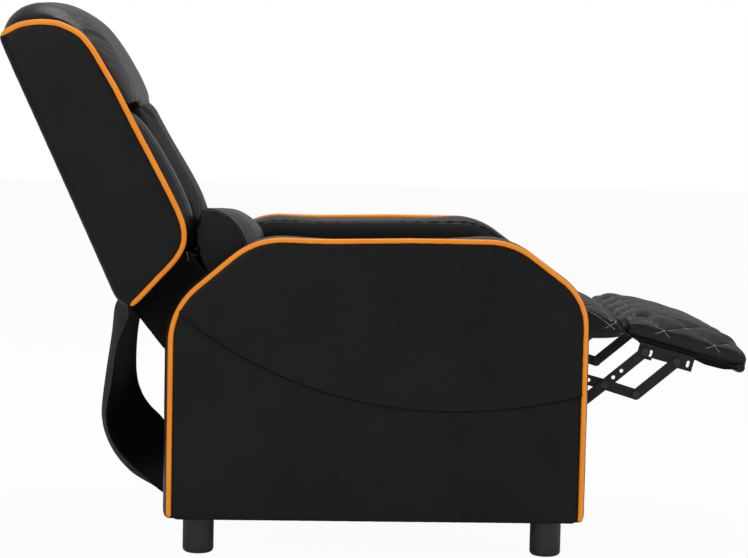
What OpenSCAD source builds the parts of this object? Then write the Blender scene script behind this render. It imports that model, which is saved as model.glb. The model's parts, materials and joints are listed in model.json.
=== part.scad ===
// Push-back reclining lounge chair with a scissor-linked footrest, drawn in millimetres with +Z up and +X
// to the front. It is drawn with the footrest out and the back half reclined. Places along X are counted
// from the rear seam of the arms, and the whole chair is then moved so that its box is centred.

/* [Arms] */
// Width over the two outer arm seams
chair_width = 760; // [700:5:900]
// Thickness of one arm
arm_thickness = 118; // [95:1:140]
// Length of an arm along its seam
arm_length = 765; // [700:5:860]
// Height of the flat top of an arm
arm_height = 593; // [540:1:660]
// Height of the arm's rear post below its sloped shoulder
rear_post_height = 460; // [420:1:480]
// Height of the arm's front post below its sloped shoulder
front_post_height = 490; // [440:1:510]
// Run of the rear shoulder along the chair
rear_shoulder_run = 154; // [140:1:220]
// Run of the front shoulder along the chair
front_shoulder_run = 139; // [120:1:200]
// Radius of the lower rear shoulder corner
rear_low_radius = 131; // [40:1:135]
// Radius of the upper rear shoulder corner
rear_top_radius = 148; // [40:1:150]
// Radius of the upper front shoulder corner
front_top_radius = 136; // [40:1:140]
// Radius of the lower front shoulder corner
front_low_radius = 109; // [40:1:115]
// Radius of the arm's bottom corners
arm_bottom_radius = 12; // [6:1:20]
// How far the padded band of an arm swells past its front and rear seams
band_swell = 17; // [8:1:20]
// How far the padded band swells past the seam over the arm's top
band_top_swell = 4; // [2:1:8]
// Height up to which the band keeps its full swell
band_swell_height = 430; // [380:5:460]
// Thickness of the padded band over the arm frame
band_thickness = 20; // [14:1:30]
// Thickness of the lower side panel of an arm
lower_panel_thickness = 5; // [3:0.5:8]
// How much the upper side panel stands out over the lower one at the pleat
pleat_step = 4; // [2:0.5:7]
// Place of the pleat's lowest point along the arm
pleat_low_place = 510; // [450:1:560]
// Height of the pleat's lowest point
pleat_low_height = 278; // [240:1:320]
// Radius of the pleat's curve behind its lowest point
pleat_rear_radius = 800; // [720:5:900]
// Radius of the pleat's curve ahead of its lowest point
pleat_front_radius = 1016; // [900:5:1200]
// Thickness of the panel on the inner side of an arm
inner_panel_thickness = 3; // [2:0.5:5]
// Thickness of the wooden boards of an arm frame
frame_board = 12; // [9:1:18]
// Depth of the wooden rails round an arm frame
frame_rail = 34; // [24:1:50]
// Radius of the coloured piping
piping_radius = 4.5; // [3:0.5:6]

/* [Feet] */
// Height of a foot
foot_height = 71; // [50:1:90]
// Radius of a foot
foot_radius = 29; // [20:1:40]
// Radius of the rounded lower edge of a foot
foot_edge_radius = 8; // [3:1:10]
// Distance of a foot's centre from the outer seam of the arm
foot_inset = 60; // [52:1:64]
// Distance of the rear feet from the arm's rear seam
rear_foot_place = 54; // [46:1:90]
// Distance of the front feet from the arm's front seam
front_foot_place = 58; // [46:1:90]
// Radius of the threaded stud of a foot
foot_stud_radius = 4; // [3:0.5:5]
// Length of the threaded stud above a foot
foot_stud_length = 28; // [20:1:32]

/* [Base] */
// Thickness of the wooden cross rails of the base
cross_rail_thickness = 24; // [18:1:30]
// Height of the wooden cross rails of the base
cross_rail_height = 56; // [40:1:64]
// Distance of the front cross rail from the arm's front seam
front_rail_setback = 217; // [209:1:240]
// Height of the cross rails' lower edge over the arm's bottom
cross_rail_rise = 10; // [4:1:20]
// Thickness of the steel plates of the mechanism
plate_thickness = 3; // [2.5:0.1:3]
// Gap between neighbouring plates
plate_gap = 0.5; // [0.4:0.05:0.6]
// Height of the lower pins of the swing links
swing_base_height = 210; // [200:1:216]
// Place of the rear swing link's lower pin
rear_swing_place = 215; // [200:1:240]
// Distance of the front swing link's lower pin from the arm's front seam
front_swing_setback = 295; // [285:1:315]
// Height of the base plates' rail
base_plate_height = 36; // [30:1:44]

/* [Seat linkage] */
// Length of a swing link between its pins
swing_length = 120; // [119:0.5:121]
// Lean of the swing links to the front with the footrest out
swing_lean = 13; // [12:0.5:14]
// Width of a swing link
swing_width = 24; // [20:1:28]
// Radius of the tube that ties the front swing links
torque_tube_radius = 10; // [8:0.5:12]

/* [Footrest linkage] */
// How far the elbow pin at the front of the cross links stands past the arm's front seam
elbow_reach = 117; // [113:1:121]
// Height of the elbow pin
elbow_height = 298; // [294:1:302]
// Width of a linkage bar
bar_width = 20; // [17:1:21]
// Length of the cross link from its rear pin to the crossing
cross_rear_length = 120; // [119:0.5:121]
// Downward lean of the cross link's rear part
cross_rear_lean = 14.5; // [14:0.5:15]
// Length of the cross link from the crossing to the elbow, and between the bracket's pins
cross_front_length = 64; // [62:0.5:66]
// Downward lean of the cross link's front part and of the bracket's pins
footrest_lean = 17; // [16:0.5:18]
// Downward lean of the footrest board and pad
board_lean = 15; // [14.5:0.5:17]
// Length of the long link from the crossing to the footrest
long_front_length = 99; // [97:0.5:101]
// Upward lean of the long link
long_lean = 40; // [39:0.5:41]
// Length of the long link's tail behind the crossing
long_tail_length = 97; // [96:0.5:98]
// Bend between the long link's front and its tail
tail_bend = 1; // [0:0.5:2]
// Distance of the drag link's pin on the base from the arm's front seam
drag_pin_setback = 194.8; // [194:0.1:196]
// Height of the drag link's pin on the base
drag_pin_height = 327; // [326:0.1:328]
// Radius of the rivets and pins
pin_radius = 4; // [3:0.1:4.5]
// Radius of the rivet heads
head_radius = 7; // [6:0.1:8]
// Thickness of the rivet heads
head_thickness = 1.8; // [1.2:0.1:2]
// Radial play of a running pin
pin_play = 0.06; // [0.04:0.01:0.1]
// Radial play at the pins where a closed loop of bars meets
loop_play = 0.9; // [0.8:0.05:1.2]
// Distance of the footrest board's underside from the bracket's pin line
board_offset = 16; // [14:0.1:18]
// Length of the slots in the footrest brackets
slot_length = 13; // [9:0.5:16]
// Width of the slots in the footrest brackets
slot_width = 6; // [4:0.5:8]

/* [Footrest] */
// Thickness of the footrest board
footrest_board_thickness = 12; // [9:0.5:15]
// Length of the footrest board
footrest_board_length = 222; // [200:1:224]
// Length of the footrest pad
footrest_pad_length = 246; // [240:1:256]
// How far the pad starts behind the first bracket pin
footrest_pad_start = 44; // [40:1:50]
// Thickness of the pad along its edges
footrest_edge_thickness = 32; // [22:1:36]
// Thickness of the pad in its middle
footrest_pad_crown = 50; // [38:1:54]
// How much thinner the pad is at its front end
footrest_pad_fall = 12; // [0:1:16]
// Depth of the sewn channels between the pad's ridges
quilt_depth = 2.4; // [0.5:0.1:4]
// Width of one sewn diamond
quilt_pitch = 64; // [50:1:80]

/* [Seat] */
// Gap between an arm and the seat
seat_side_gap = 5; // [3:0.5:8]
// Place of the seat cushion's rear end
seat_rear_place = 208; // [204:1:220]
// How far the seat cushion's front stands past the arm's front seam
seat_front_reach = 85; // [81:1:91]
// Height of the seat frame's upper edge
seat_frame_height = 400; // [398:1:402]
// Height of the seat cushion's rear end over its frame
seat_rear_thickness = 44; // [38:1:50]
// Height of the seat cushion's front over its frame
seat_front_thickness = 86; // [76:1:92]
// How much the seat cushion rises in its middle
seat_crown = 12; // [4:1:16]
// Height of the wooden seat frame
seat_rail_height = 48; // [40:1:50]
// Thickness of the wooden seat frame
seat_rail_thickness = 24; // [18:1:30]
// How far the seat frame's front stands past the arm's front seam
seat_frame_reach = 4; // [1:1:7]
// Place of the seat frame's rear
seat_frame_rear = 232; // [226:1:236]
// Width of a seat webbing belt
belt_width = 50; // [40:1:60]
// Thickness of a webbing belt
belt_thickness = 2; // [1.5:0.5:3]

/* [Back] */
// Place of the back's hinge pin
hinge_place = 18; // [14:1:24]
// Height of the back's hinge pin
hinge_height = 265; // [260:1:270]
// Lean of the back from upright as drawn
back_lean = 26; // [24:1:28]
// How far the outside of a wing stays inside the arm's outer seam
wing_inset = 30; // [20:1:50]
// Width of a wing beside the pads
wing_width = 46; // [36:1:60]
// Thickness of the back at its wings
back_depth = 174; // [165:1:180]
// Height of the back's top seam from the hinge
back_height = 770; // [740:1:790]
// Height of the wings' rear lower corner from the hinge
wing_rear_low = 212; // [206:1:218]
// Height of the wings' front lower corner from the hinge
wing_front_low = 288; // [284:1:300]
// Radius of the wings' front lower corner
wing_low_radius = 64; // [40:1:66]
// Radius of the wings' rear corners
wing_rear_radius = 13; // [8:1:16]
// Radius of the wings' upper corners
wing_top_radius = 70; // [40:1:75]
// Thickness of the leather panel on the outside of a wing
wing_panel_thickness = 5; // [3:0.5:8]
// Gap between an arm and the back's lower part
lower_back_gap = 12; // [11:1:22]
// Height of the back's lower end from the hinge
lower_back_end = 74; // [70:1:80]
// Depth from the back's rear face to the pads
shell_depth = 120; // [112:1:126]
// How far the side bolsters stand past the wings' front seam
bolster_swell = 19; // [12:1:24]
// Width of a side bolster
bolster_width = 154; // [134:1:170]
// How much the lower end of a bolster rises to its front, to clear the arm
bolster_rise = 38; // [36:1:50]
// Gap under a bolster's lower end, to clear the arm
bolster_gap = 6; // [5:1:12]
// How far the middle pad stands past the wings' front seam
middle_swell = 31; // [26:1:36]
// How far the head cushion stands past the top seam
head_rise = 48; // [36:1:56]
// Height of the crease under the head cushion from the hinge
head_crease = 556; // [540:1:570]
// Depth of the wooden back frame
back_rail_depth = 40; // [30:1:44]
// Width of the wooden back frame's rails
back_rail_width = 40; // [30:1:50]
// Thickness of the steel back brackets
bracket_thickness = 4; // [3:0.5:5]

/* [Lumbar pillow] */
// Height of the pillow
pillow_height = 152; // [146:1:156]
// Depth of the pillow at its ends
pillow_depth = 64; // [56:1:70]
// How much deeper the pillow is in its middle
pillow_crown = 16; // [8:1:20]
// Gap between an arm and the pillow's end
pillow_inset = 22; // [18:1:60]
// Height of the pillow's lower edge from the hinge
pillow_place = 160; // [158:1:166]
// How much lower the pillow is in its middle than at its ends
pillow_sag = 9; // [0:1:12]

/* [Rear flap] */
// Thickness of the hanging rear flap
flap_thickness = 2; // [1.5:0.1:3]
// Gap between an arm and the rear flap
flap_inset = 16; // [14:1:32]
// How far the flap swells to the rear in its middle
flap_swell = 26; // [10:1:30]

/* [View] */
// Which node to draw, or all of them

/* [Hidden] */
$fn = 48;
// Overrun of every cut
over = 1;
// Clearance between soft pieces of different bodies, and of soft pieces beside each other
soft_gap = 0.3;
// Least radius of a corner in a padded outline
least_radius = 0.5;
black = [0.15, 0.16, 0.165];
soft_black = [0.19, 0.2, 0.205];
orange = [0.94, 0.52, 0.1];
wood = [0.72, 0.56, 0.38];
steel = [0.12, 0.12, 0.13];
zinc = [0.6, 0.61, 0.63];
belt = [0.25, 0.25, 0.27];

half_width = chair_width / 2;
inner_reach = half_width - arm_thickness;
front_rail_place = arm_length - front_rail_setback;
front_swing_place = arm_length - front_swing_setback;
elbow_place = arm_length + elbow_reach;
drag_pin_place = arm_length - drag_pin_setback;
seat_front_place = arm_length + seat_front_reach;
seat_frame_front = arm_length + seat_frame_reach;
wing_reach = half_width - wing_inset;
lower_back_reach = inner_reach - lower_back_gap;
pillow_reach = inner_reach - pillow_inset;
flap_reach = inner_reach - flap_inset;
panel_face = half_width - pleat_step;
band_outer = panel_face - lower_panel_thickness;
band_inner = inner_reach + inner_panel_thickness;

// Outline tools: a corner list with radii, walked counter-clockwise.
function unit(v) = v / norm(v);
function pick(list, i) = list[(i + len(list)) % len(list)];
function heading(p, i) = unit(pick(p, i + 1) - pick(p, i));
function right_of(u) = [u[1], -u[0]];
function angle_of(u) = atan2(u[1], u[0]);
function turn(p, i) =
    let(a = angle_of(heading(p, i - 1)), b = angle_of(heading(p, i))) (b - a + 720) % 360;
function corner_push(p, i) =
    let(a = right_of(heading(p, i - 1)), b = right_of(heading(p, i))) (a + b) / (1 + a * b);
function grown(p, d) = [for (i = [0:len(p) - 1]) p[i] + corner_push(p, i) * d];
function grown_radii(r, d) = [for (v = r) max(v + d, least_radius)];
function centre(p, r, i) = p[i] - corner_push(p, i) * r[i];
function arc_point(p, r, i, t) =
    let(a = angle_of(right_of(heading(p, i - 1))) + turn(p, i) * t) centre(p, r, i) + r[i] * [cos(a), sin(a)];
function ring2(p, r, steps) = [for (i = [0:len(p) - 1]) for (j = [0:steps]) arc_point(p, r, i, j / steps)];

// The corner caps are cut from circles, so that no circle reaches past a neighbouring edge.
module outline(p, r) {
    polygon([for (i = [0:len(p) - 1]) for (t = [0, 1]) arc_point(p, r, i, t)]);
    for (i = [0:len(p) - 1])
        intersection() {
            translate(centre(p, r, i)) circle(r = r[i]);
            polygon([arc_point(p, r, i, 0), p[i], arc_point(p, r, i, 1)]);
        }
}

// Piping along an outline: an eight-sided tube from the end of corner first to the start of corner last,
// or carried round a share of those two corners.
tube_sides = 8;
function run_points(p, r, first, last, steps, part) = concat(
    [for (j = [part > 0 ? 0 : 2:2]) arc_point(p, r, first % len(p), 1 - part + part * j / 2)],
    [for (i = [first + 1:last - 1]) for (j = [0:steps]) arc_point(p, r, i % len(p), j / steps)],
    [for (j = [0:part > 0 ? 2 : 0]) arc_point(p, r, last % len(p), part * j / 2)]);
function tube_rings(path, reach, radius) =
    let(n = len(path))
    [for (i = [0:n - 1])
        let(out = right_of(unit(path[min(i + 1, n - 1)] - path[max(i - 1, 0)])))
        [for (k = [0:tube_sides - 1])
            let(a = -360 * k / tube_sides, q = path[i] + out * radius * cos(a))
            [q[0], radius * sin(a) - reach, q[1]]]];

// Flat work in the XZ plane of the right side, from reach outwards to reach minus thick.
module plate(reach, thick) {
    translate([0, thick - reach, 0])
        rotate([90, 0, 0])
            linear_extrude(height = thick) children();
}

module rod_y(at, reach, long, radius) {
    translate([at[0], long - reach, at[1]])
        rotate([90, 0, 0])
            cylinder(h = long, r = radius);
}

module left() {
    mirror([0, 1, 0]) children();
}

module both() {
    children();
    left() children();
}

module bar(a, b, width) {
    translate(a) circle(r = width / 2);
    translate(b) circle(r = width / 2);
    translate(a) rotate(angle_of(b - a)) translate([0, -width / 2]) square([norm(b - a), width]);
}

// A bent bar: a strip of one width along a path, with round ends.
function side_push(path, i) =
    let(n = len(path), a = right_of(unit(path[max(i, 1)] - path[max(i - 1, 0)])),
        b = right_of(unit(path[min(i + 1, n - 1)] - path[min(i, n - 2)])))
    (a + b) / (1 + a * b);
module bent_bar(path, width) {
    n = len(path);
    for (i = [0, n - 1])
        translate(path[i]) circle(r = width / 2);
    polygon(concat(
        [for (i = [0:n - 1]) path[i] + side_push(path, i) * width / 2],
        [for (i = [n - 1:-1:0]) path[i] - side_push(path, i) * width / 2]));
}

module slot(at, angle, long, width) {
    half = (long - width) / 2;
    translate(at) rotate(angle) {
        translate([-half, 0]) circle(r = width / 2);
        translate([half, 0]) circle(r = width / 2);
        translate([-half, -width / 2]) square([2 * half, width]);
    }
}

// A closed soft solid from rings of equal length, closed at both ends round a middle point.
function mean(ring) = ring * [for (q = ring) 1] / len(ring);
function middle(ring) = let(n = len(ring)) [for (k = [0:2]) mean([for (q = ring) q[k]])];
module loft(rings, eyes = []) {
    n = len(rings[0]);
    m = len(rings);
    ends = len(eyes) > 0 ? eyes : [middle(rings[0]), middle(rings[m - 1])];
    polyhedron(
        points = concat([for (ring = rings) for (q = ring) q], ends),
        faces = concat(
            [for (i = [0:n - 1]) [i, (i + 1) % n, n * m]],
            loft_sides(n, m),
            [for (i = [0:n - 1]) [(m - 1) * n + (i + 1) % n, (m - 1) * n + i, n * m + 1]]));
}
function loft_sides(n, m) = [for (j = [0:m - 2]) for (i = [0:n - 1])
    each [[j * n + i, (j + 1) * n + i, (j + 1) * n + (i + 1) % n],
          [j * n + i, (j + 1) * n + (i + 1) % n, j * n + (i + 1) % n]]];

// The same from rings that are thin strips, whose far half runs back along the near half.
module strip_loft(rings) {
    n = len(rings[0]);
    m = len(rings);
    h = n / 2;
    polyhedron(
        points = [for (ring = rings) for (q = ring) q],
        faces = concat(
            [for (i = [0:h - 2]) each [[i, i + 1, n - 1 - i], [i + 1, n - 2 - i, n - 1 - i]]],
            loft_sides(n, m),
            [for (i = [0:h - 2]) let(k = (m - 1) * n)
                each [[k + i + 1, k + i, k + n - 1 - i], [k + n - 2 - i, k + i + 1, k + n - 1 - i]]]));
}

// One round of corner cutting on a closed outline.
function softened(p) = [for (i = [0:len(p) - 1]) each [p[i] * 0.75 + pick(p, i + 1) * 0.25,
    p[i] * 0.25 + pick(p, i + 1) * 0.75]];
// The same along an open run, whose two ends stay.
function softened_run(p) = concat([p[0]], [for (i = [0:len(p) - 2]) each [p[i] * 0.75 + p[i + 1] * 0.25,
    p[i] * 0.25 + p[i + 1] * 0.75]], [p[len(p) - 1]]);
function mix(a, b, t) = a * (1 - t) + b * t;
// Fullness of a padded piece at share t of its half width: 1 in the middle and less at the ends.
function full(t, power) = pow(max(1 - pow(abs(t), power), 0), 1 / power);

// Arm outline.
// The seam is the centre line of the piping; the panels and the band begin inside it.
seam_inset = piping_radius + soft_gap;
arm_seam = [
    [0, foot_height - seam_inset], [arm_length, foot_height - seam_inset], [arm_length, front_post_height],
    [arm_length - front_shoulder_run, arm_height], [rear_shoulder_run, arm_height], [0, rear_post_height]];
arm_seam_radii = [arm_bottom_radius + seam_inset, arm_bottom_radius + seam_inset, front_low_radius,
    front_top_radius, rear_top_radius, rear_low_radius];
arm_points = grown(arm_seam, -seam_inset);
arm_radii = grown_radii(arm_seam_radii, -seam_inset);
arm_steps = 5;
piping_end_share = 0.4;
band_share_steps = [0, 0.05, 0.16, 0.36, 0.64, 0.84, 0.95, 1];

// The swell fades over the shoulders, from its full size on the posts to the top's.
function band_line(swell) = ring2(grown(arm_points, swell), grown_radii(arm_radii, swell), arm_steps);
function band_fade(z) =
    let(t = min(max((z - band_swell_height) / (arm_height - frame_rail - band_swell_height), 0), 1))
    t * t * (3 - 2 * t);
function band_ring(share) =
    let(fullness = full(2 * share - 1, 2.6), reach = band_outer - (band_outer - band_inner) * share,
        wide = band_line(band_swell * fullness), slim = band_line(band_top_swell * fullness))
    [for (i = [0:len(wide) - 1]) let(q = mix(wide[i], slim[i], band_fade(slim[i][1])))
        [q[0], -reach, max(q[1], foot_height)]];

module arm_band() {
    difference() {
        loft([for (t = band_share_steps) band_ring(t)]);
        plate(band_outer + over, band_outer - band_inner + 2 * over) frame_outline();
        plate(band_outer + over, band_outer - band_inner + 2 * over)
            translate([band_thickness, foot_height - over])
                square([arm_length - 2 * band_thickness, band_thickness + 2 * over]);
    }
}

module frame_outline() {
    outline(grown(arm_points, -band_thickness), grown_radii(arm_radii, -band_thickness));
}

module arm_frame() {
    difference() {
        union() {
            plate(band_outer, band_outer - band_inner) frame_outline();
            plate(band_outer, band_outer - band_inner)
                translate([band_thickness, foot_height])
                    square([arm_length - 2 * band_thickness, band_thickness + over]);
        }
        plate(band_outer - frame_board, band_outer - band_inner - 2 * frame_board)
            outline(grown(arm_points, -band_thickness - frame_rail),
                grown_radii(arm_radii, -band_thickness - frame_rail));
        for (x = [rear_foot_place, arm_length - front_foot_place])
            translate([x, foot_inset - half_width, foot_height - over])
                cylinder(h = foot_stud_length + over, r = foot_stud_radius);
    }
}

// The side of an arm above the pleat is everything inside the pleat's two arcs.
module above_pleat() {
    intersection() {
        outline(arm_points, arm_radii);
        union() {
            intersection() {
                translate([pleat_low_place, pleat_low_height + pleat_rear_radius])
                    circle(r = pleat_rear_radius, $fn = 360);
                translate([-over, 0]) square([pleat_low_place + over, arm_height + over]);
            }
            intersection() {
                translate([pleat_low_place, pleat_low_height + pleat_front_radius])
                    circle(r = pleat_front_radius, $fn = 360);
                translate([pleat_low_place, 0])
                    square([arm_length - pleat_low_place + over, arm_height + over]);
            }
        }
    }
}

module arm_upper_panel() {
    plate(half_width, half_width - band_outer) above_pleat();
}

module arm_lower_panel() {
    plate(panel_face, lower_panel_thickness)
        difference() {
            outline(arm_points, arm_radii);
            above_pleat();
        }
}

module arm_inner_panel() {
    plate(band_inner, inner_panel_thickness) outline(arm_points, arm_radii);
}

// The piping lies in the seam between the side panels and the band, all round the arm's outline.
module arm_piping() {
    loft(tube_rings(run_points(arm_seam, arm_seam_radii, 1, 6, arm_steps, piping_end_share),
        half_width - piping_radius, piping_radius));
}

module foot(x) {
    translate([x, foot_inset - half_width, 0])
        rotate_extrude() {
            square([foot_radius - foot_edge_radius, foot_height]);
            translate([0, foot_edge_radius]) square([foot_radius, foot_height - foot_edge_radius]);
            intersection() {
                translate([foot_radius - foot_edge_radius, foot_edge_radius]) circle(r = foot_edge_radius);
                square([foot_radius, foot_edge_radius]);
            }
        }
}

module foot_studs_part() {
    both()
        for (x = [rear_foot_place, arm_length - front_foot_place])
            translate([x, foot_inset - half_width, foot_height])
                cylinder(h = foot_stud_length, r = foot_stud_radius - pin_play);
}

// Base.
cross_rail_low = foot_height + cross_rail_rise;
module base_rail(x) {
    translate([x, -inner_reach, cross_rail_low])
        cube([cross_rail_thickness, 2 * inner_reach, cross_rail_height]);
}

// Layers of the mechanism, counted inwards from the arm.
pitch = plate_thickness + plate_gap;
base_reach = inner_reach;
outer_reach = base_reach - pitch;
inner_layer = outer_reach - pitch;
seat_reach = inner_layer - pitch;
head_gap = 0.3;

hinge = [hinge_place, hinge_height];
drag_pin = [drag_pin_place, drag_pin_height];
rear_low = [rear_swing_place, swing_base_height];
front_low = [front_swing_place, swing_base_height];
swing_run = swing_length * [sin(swing_lean), cos(swing_lean)];
rear_top = rear_low + swing_run;
front_top = front_low + swing_run;
lobe = swing_width / 2 + plate_thickness;

elbow = [elbow_place, elbow_height];
front_run = cross_front_length * [cos(footrest_lean), -sin(footrest_lean)];
crossing = elbow - front_run;
cross_pin = crossing - cross_rear_length * [cos(cross_rear_lean), -sin(cross_rear_lean)];
long_run = long_front_length * [cos(long_lean), sin(long_lean)];
toe = crossing + long_run;
heel = elbow + long_run;
tail_angle = long_lean - tail_bend;
tail = crossing - long_tail_length * [cos(tail_angle), sin(tail_angle)];

module base_plate() {
    plate(base_reach, plate_thickness)
        difference() {
            bent_bar([hinge, [hinge_place + lobe / 2, swing_base_height],
                [drag_pin_place, swing_base_height], drag_pin], base_plate_height);
            for (at = [hinge, drag_pin, rear_low, front_low])
                translate(at) circle(r = pin_radius + pin_play);
        }
}

module pin(at, reach, long) {
    rod_y(at, reach, long, pin_radius);
}

// The base pins: the back's hinge pin, the swing links' lower pins and the drag link's pin.
module base_pins_side() {
    hinge_long = base_reach - bracket_inner + head_gap;
    pin(hinge, base_reach, hinge_long + head_thickness);
    rod_y(hinge, base_reach - plate_thickness, bracket_gap - head_gap, head_radius);
    rod_y(hinge, bracket_inner - head_gap, head_thickness, head_radius);
    for (at = [rear_low, front_low]) {
        pin(at, base_reach, base_reach - outer_reach + plate_thickness + head_gap);
        rod_y(at, outer_reach - plate_thickness - head_gap, head_thickness, head_radius);
    }
    pin(drag_pin, base_reach, base_reach - inner_layer + plate_thickness + head_gap);
    rod_y(drag_pin, base_reach - plate_thickness, base_reach - plate_thickness - inner_layer - head_gap,
        head_radius);
    rod_y(drag_pin, inner_layer - plate_thickness - head_gap, head_thickness, head_radius);
}

// Swing links carry the seat, leaning to the front while the footrest is out.
module swing_link(low, top, play) {
    plate(outer_reach, plate_thickness)
        difference() {
            bar(low, top, swing_width);
            translate(low) circle(r = pin_radius + pin_play);
            translate(top) circle(r = pin_radius + play);
        }
}

module torque_tube_part() {
    at = front_low + swing_run / 2;
    tube_reach = outer_reach - plate_thickness;
    rod_y(at, tube_reach, 2 * tube_reach, torque_tube_radius);
}

// Seat.
seat_half = inner_reach - seat_side_gap;
seat_low = seat_frame_height - seat_rail_height;
seat_frame_wide = 2 * (seat_reach - plate_thickness);
module seat_side_rails_part() {
    both()
        translate([seat_frame_rear, -seat_frame_wide / 2, seat_low])
            cube([seat_frame_front - seat_frame_rear, seat_rail_thickness, seat_rail_height]);
}

module seat_cross_rails_part() {
    for (x = [seat_frame_rear, seat_frame_front - seat_rail_thickness])
        translate([x, seat_rail_thickness - seat_frame_wide / 2, seat_low])
            cube([seat_rail_thickness, seat_frame_wide - 2 * seat_rail_thickness, seat_rail_height]);
}

belt_count = 5;
module seat_webbing_part() {
    wide = 2 * (seat_reach - plate_thickness - seat_rail_thickness);
    long = seat_frame_front - seat_frame_rear - 2 * seat_rail_thickness;
    for (i = [0:belt_count - 1])
        translate([seat_frame_rear + seat_rail_thickness,
            wide * ((i + 0.5) / belt_count - 0.5) - belt_width / 2, seat_frame_height - belt_thickness])
            cube([long, belt_width, belt_thickness]);
    for (i = [0:belt_count - 1])
        translate([seat_frame_rear + seat_rail_thickness + long * (i + 0.5) / belt_count - belt_width / 2,
            -wide / 2, seat_frame_height - 2 * belt_thickness])
            cube([belt_width, wide, belt_thickness]);
}

// Seat cushion: a side profile, full in the middle and drawn in at the ends.
// Each share list: place along the cushion, share from the rear thickness to the front one, share of it.
seat_low_shares = [[1, 1, 0.04], [0.995, 1, 0.1], [0.955, 1, 0.07], [0.90, 1, 0.06], [0.86, 1, 0],
    [0.6, 1, 0], [0.3, 0, 0], [0, 0, 0]];
seat_top_shares = [[-0.01, 0, 0.5], [0.02, 0, 0.97], [0.12, 0.03, 1], [0.30, 0.18, 1], [0.50, 0.43, 1],
    [0.70, 0.71, 1], [0.84, 0.98, 1], [0.89, 1, 1], [0.93, 1, 0.84], [0.965, 1, 0.66], [0.99, 1, 0.46]];
seat_long = seat_front_place - seat_rear_place;
seat_slices = [-1, -0.985, -0.94, -0.8, -0.5, -0.17, 0.17, 0.5, 0.8, 0.94, 0.985, 1];

function seat_ring(t) =
    let(f = full(t, 5), rise = seat_crown * (1 - t * t))
    [for (q = softened(concat(seat_low_shares, seat_top_shares)))
        let(thick = mix(seat_rear_thickness, seat_front_thickness, q[1]), top = q[2] > 0.2 ? 1 : 0,
            in = seat_front_thickness / 5 * (1 - f))
        [seat_rear_place + q[0] * seat_long + (q[0] < 0.5 ? in : -in),
         t * seat_half,
         seat_frame_height + (q[2] * thick + top * rise) * mix(1, 0.86 + 0.14 * f, top)]];

module seat_plate() {
    plate(seat_reach, plate_thickness)
        difference() {
            union() {
                translate([seat_frame_rear, seat_low])
                    square([cross_pin[0] - seat_frame_rear, seat_rail_height - belt_thickness]);
                bar(rear_top, rear_top + [0, seat_low - rear_top[1] + lobe], 2 * lobe);
                bar(front_top, front_top + [0, seat_low - front_top[1] + lobe], 2 * lobe);
                bar(cross_pin, cross_pin + [0, seat_low - cross_pin[1] + lobe], 2 * lobe);
            }
            for (at = [rear_top, front_top, cross_pin])
                translate(at) circle(r = pin_radius + pin_play);
        }
}

module seat_pins_side() {
    for (at = [rear_top, front_top]) {
        pin(at, outer_reach + head_gap, outer_reach + head_gap - seat_reach + plate_thickness);
        rod_y(at, outer_reach + head_gap + head_thickness, head_thickness, head_radius);
        inner_end = outer_reach - plate_thickness - head_gap;
        rod_y(at, inner_end, inner_end - seat_reach, head_radius);
    }
    pin(cross_pin, inner_layer + head_gap, inner_layer + head_gap - seat_reach + plate_thickness);
    rod_y(cross_pin, inner_layer + head_gap + head_thickness, head_thickness, head_radius);
}

// Footrest linkage, one scissor a side.
module cross_link() {
    plate(inner_layer, plate_thickness)
        difference() {
            bent_bar([cross_pin, crossing, elbow], bar_width);
            for (at = [cross_pin, crossing, elbow])
                translate(at) circle(r = pin_radius + pin_play);
            for (t = [0.62, 0.74])
                translate(mix(cross_pin, crossing, t)) circle(r = pin_radius - head_gap);
        }
}

// A rivet through an inner and an outer bar. It is tight in one of them and its heads clear the other.
module rivet(at, tight_inside) {
    outer_end = outer_reach + (tight_inside ? head_gap : 0);
    inner_end = inner_layer - plate_thickness - (tight_inside ? 0 : head_gap);
    pin(at, outer_end, outer_end - inner_end);
    rod_y(at, outer_end + head_thickness, head_thickness, head_radius);
    rod_y(at, inner_end, head_thickness, head_radius);
}

module long_link() {
    plate(outer_reach, plate_thickness)
        difference() {
            bent_bar([tail, crossing, toe], bar_width);
            for (at = [tail, crossing, toe])
                translate(at) circle(r = pin_radius + pin_play);
            for (t = [0.22, 0.42])
                translate(mix(crossing, toe, t)) circle(r = pin_radius - head_gap);
        }
}

module front_link() {
    plate(outer_reach, plate_thickness)
        difference() {
            bar(elbow, heel, bar_width);
            translate(elbow) circle(r = pin_radius + pin_play);
            translate(heel) circle(r = pin_radius + loop_play);
        }
}

module drag_link() {
    plate(inner_layer, plate_thickness)
        difference() {
            bar(drag_pin, tail, bar_width);
            translate(drag_pin) circle(r = pin_radius + pin_play);
            translate(tail) circle(r = pin_radius + loop_play);
        }
}

// Footrest: brackets, board and pad are drawn flat from the first bracket pin and then leaned.
module on_footrest() {
    translate([toe[0], 0, toe[1]]) rotate([0, board_lean, 0]) children();
}
bracket_half = bar_width / 2 + plate_thickness;
bracket_start = bracket_half;
bracket_long = cross_front_length + 2 * bracket_half + bar_width;
slot_places = [bar_width * 0.62, cross_front_length + bar_width * 1.15];
slot_rim = slot_width / 2 + plate_thickness / 2;
cut_start = slot_places[0] + slot_rim;
cut_end = cross_front_length - bracket_half;
second_pin = cross_front_length * [cos(footrest_lean - board_lean), -sin(footrest_lean - board_lean)];

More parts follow.
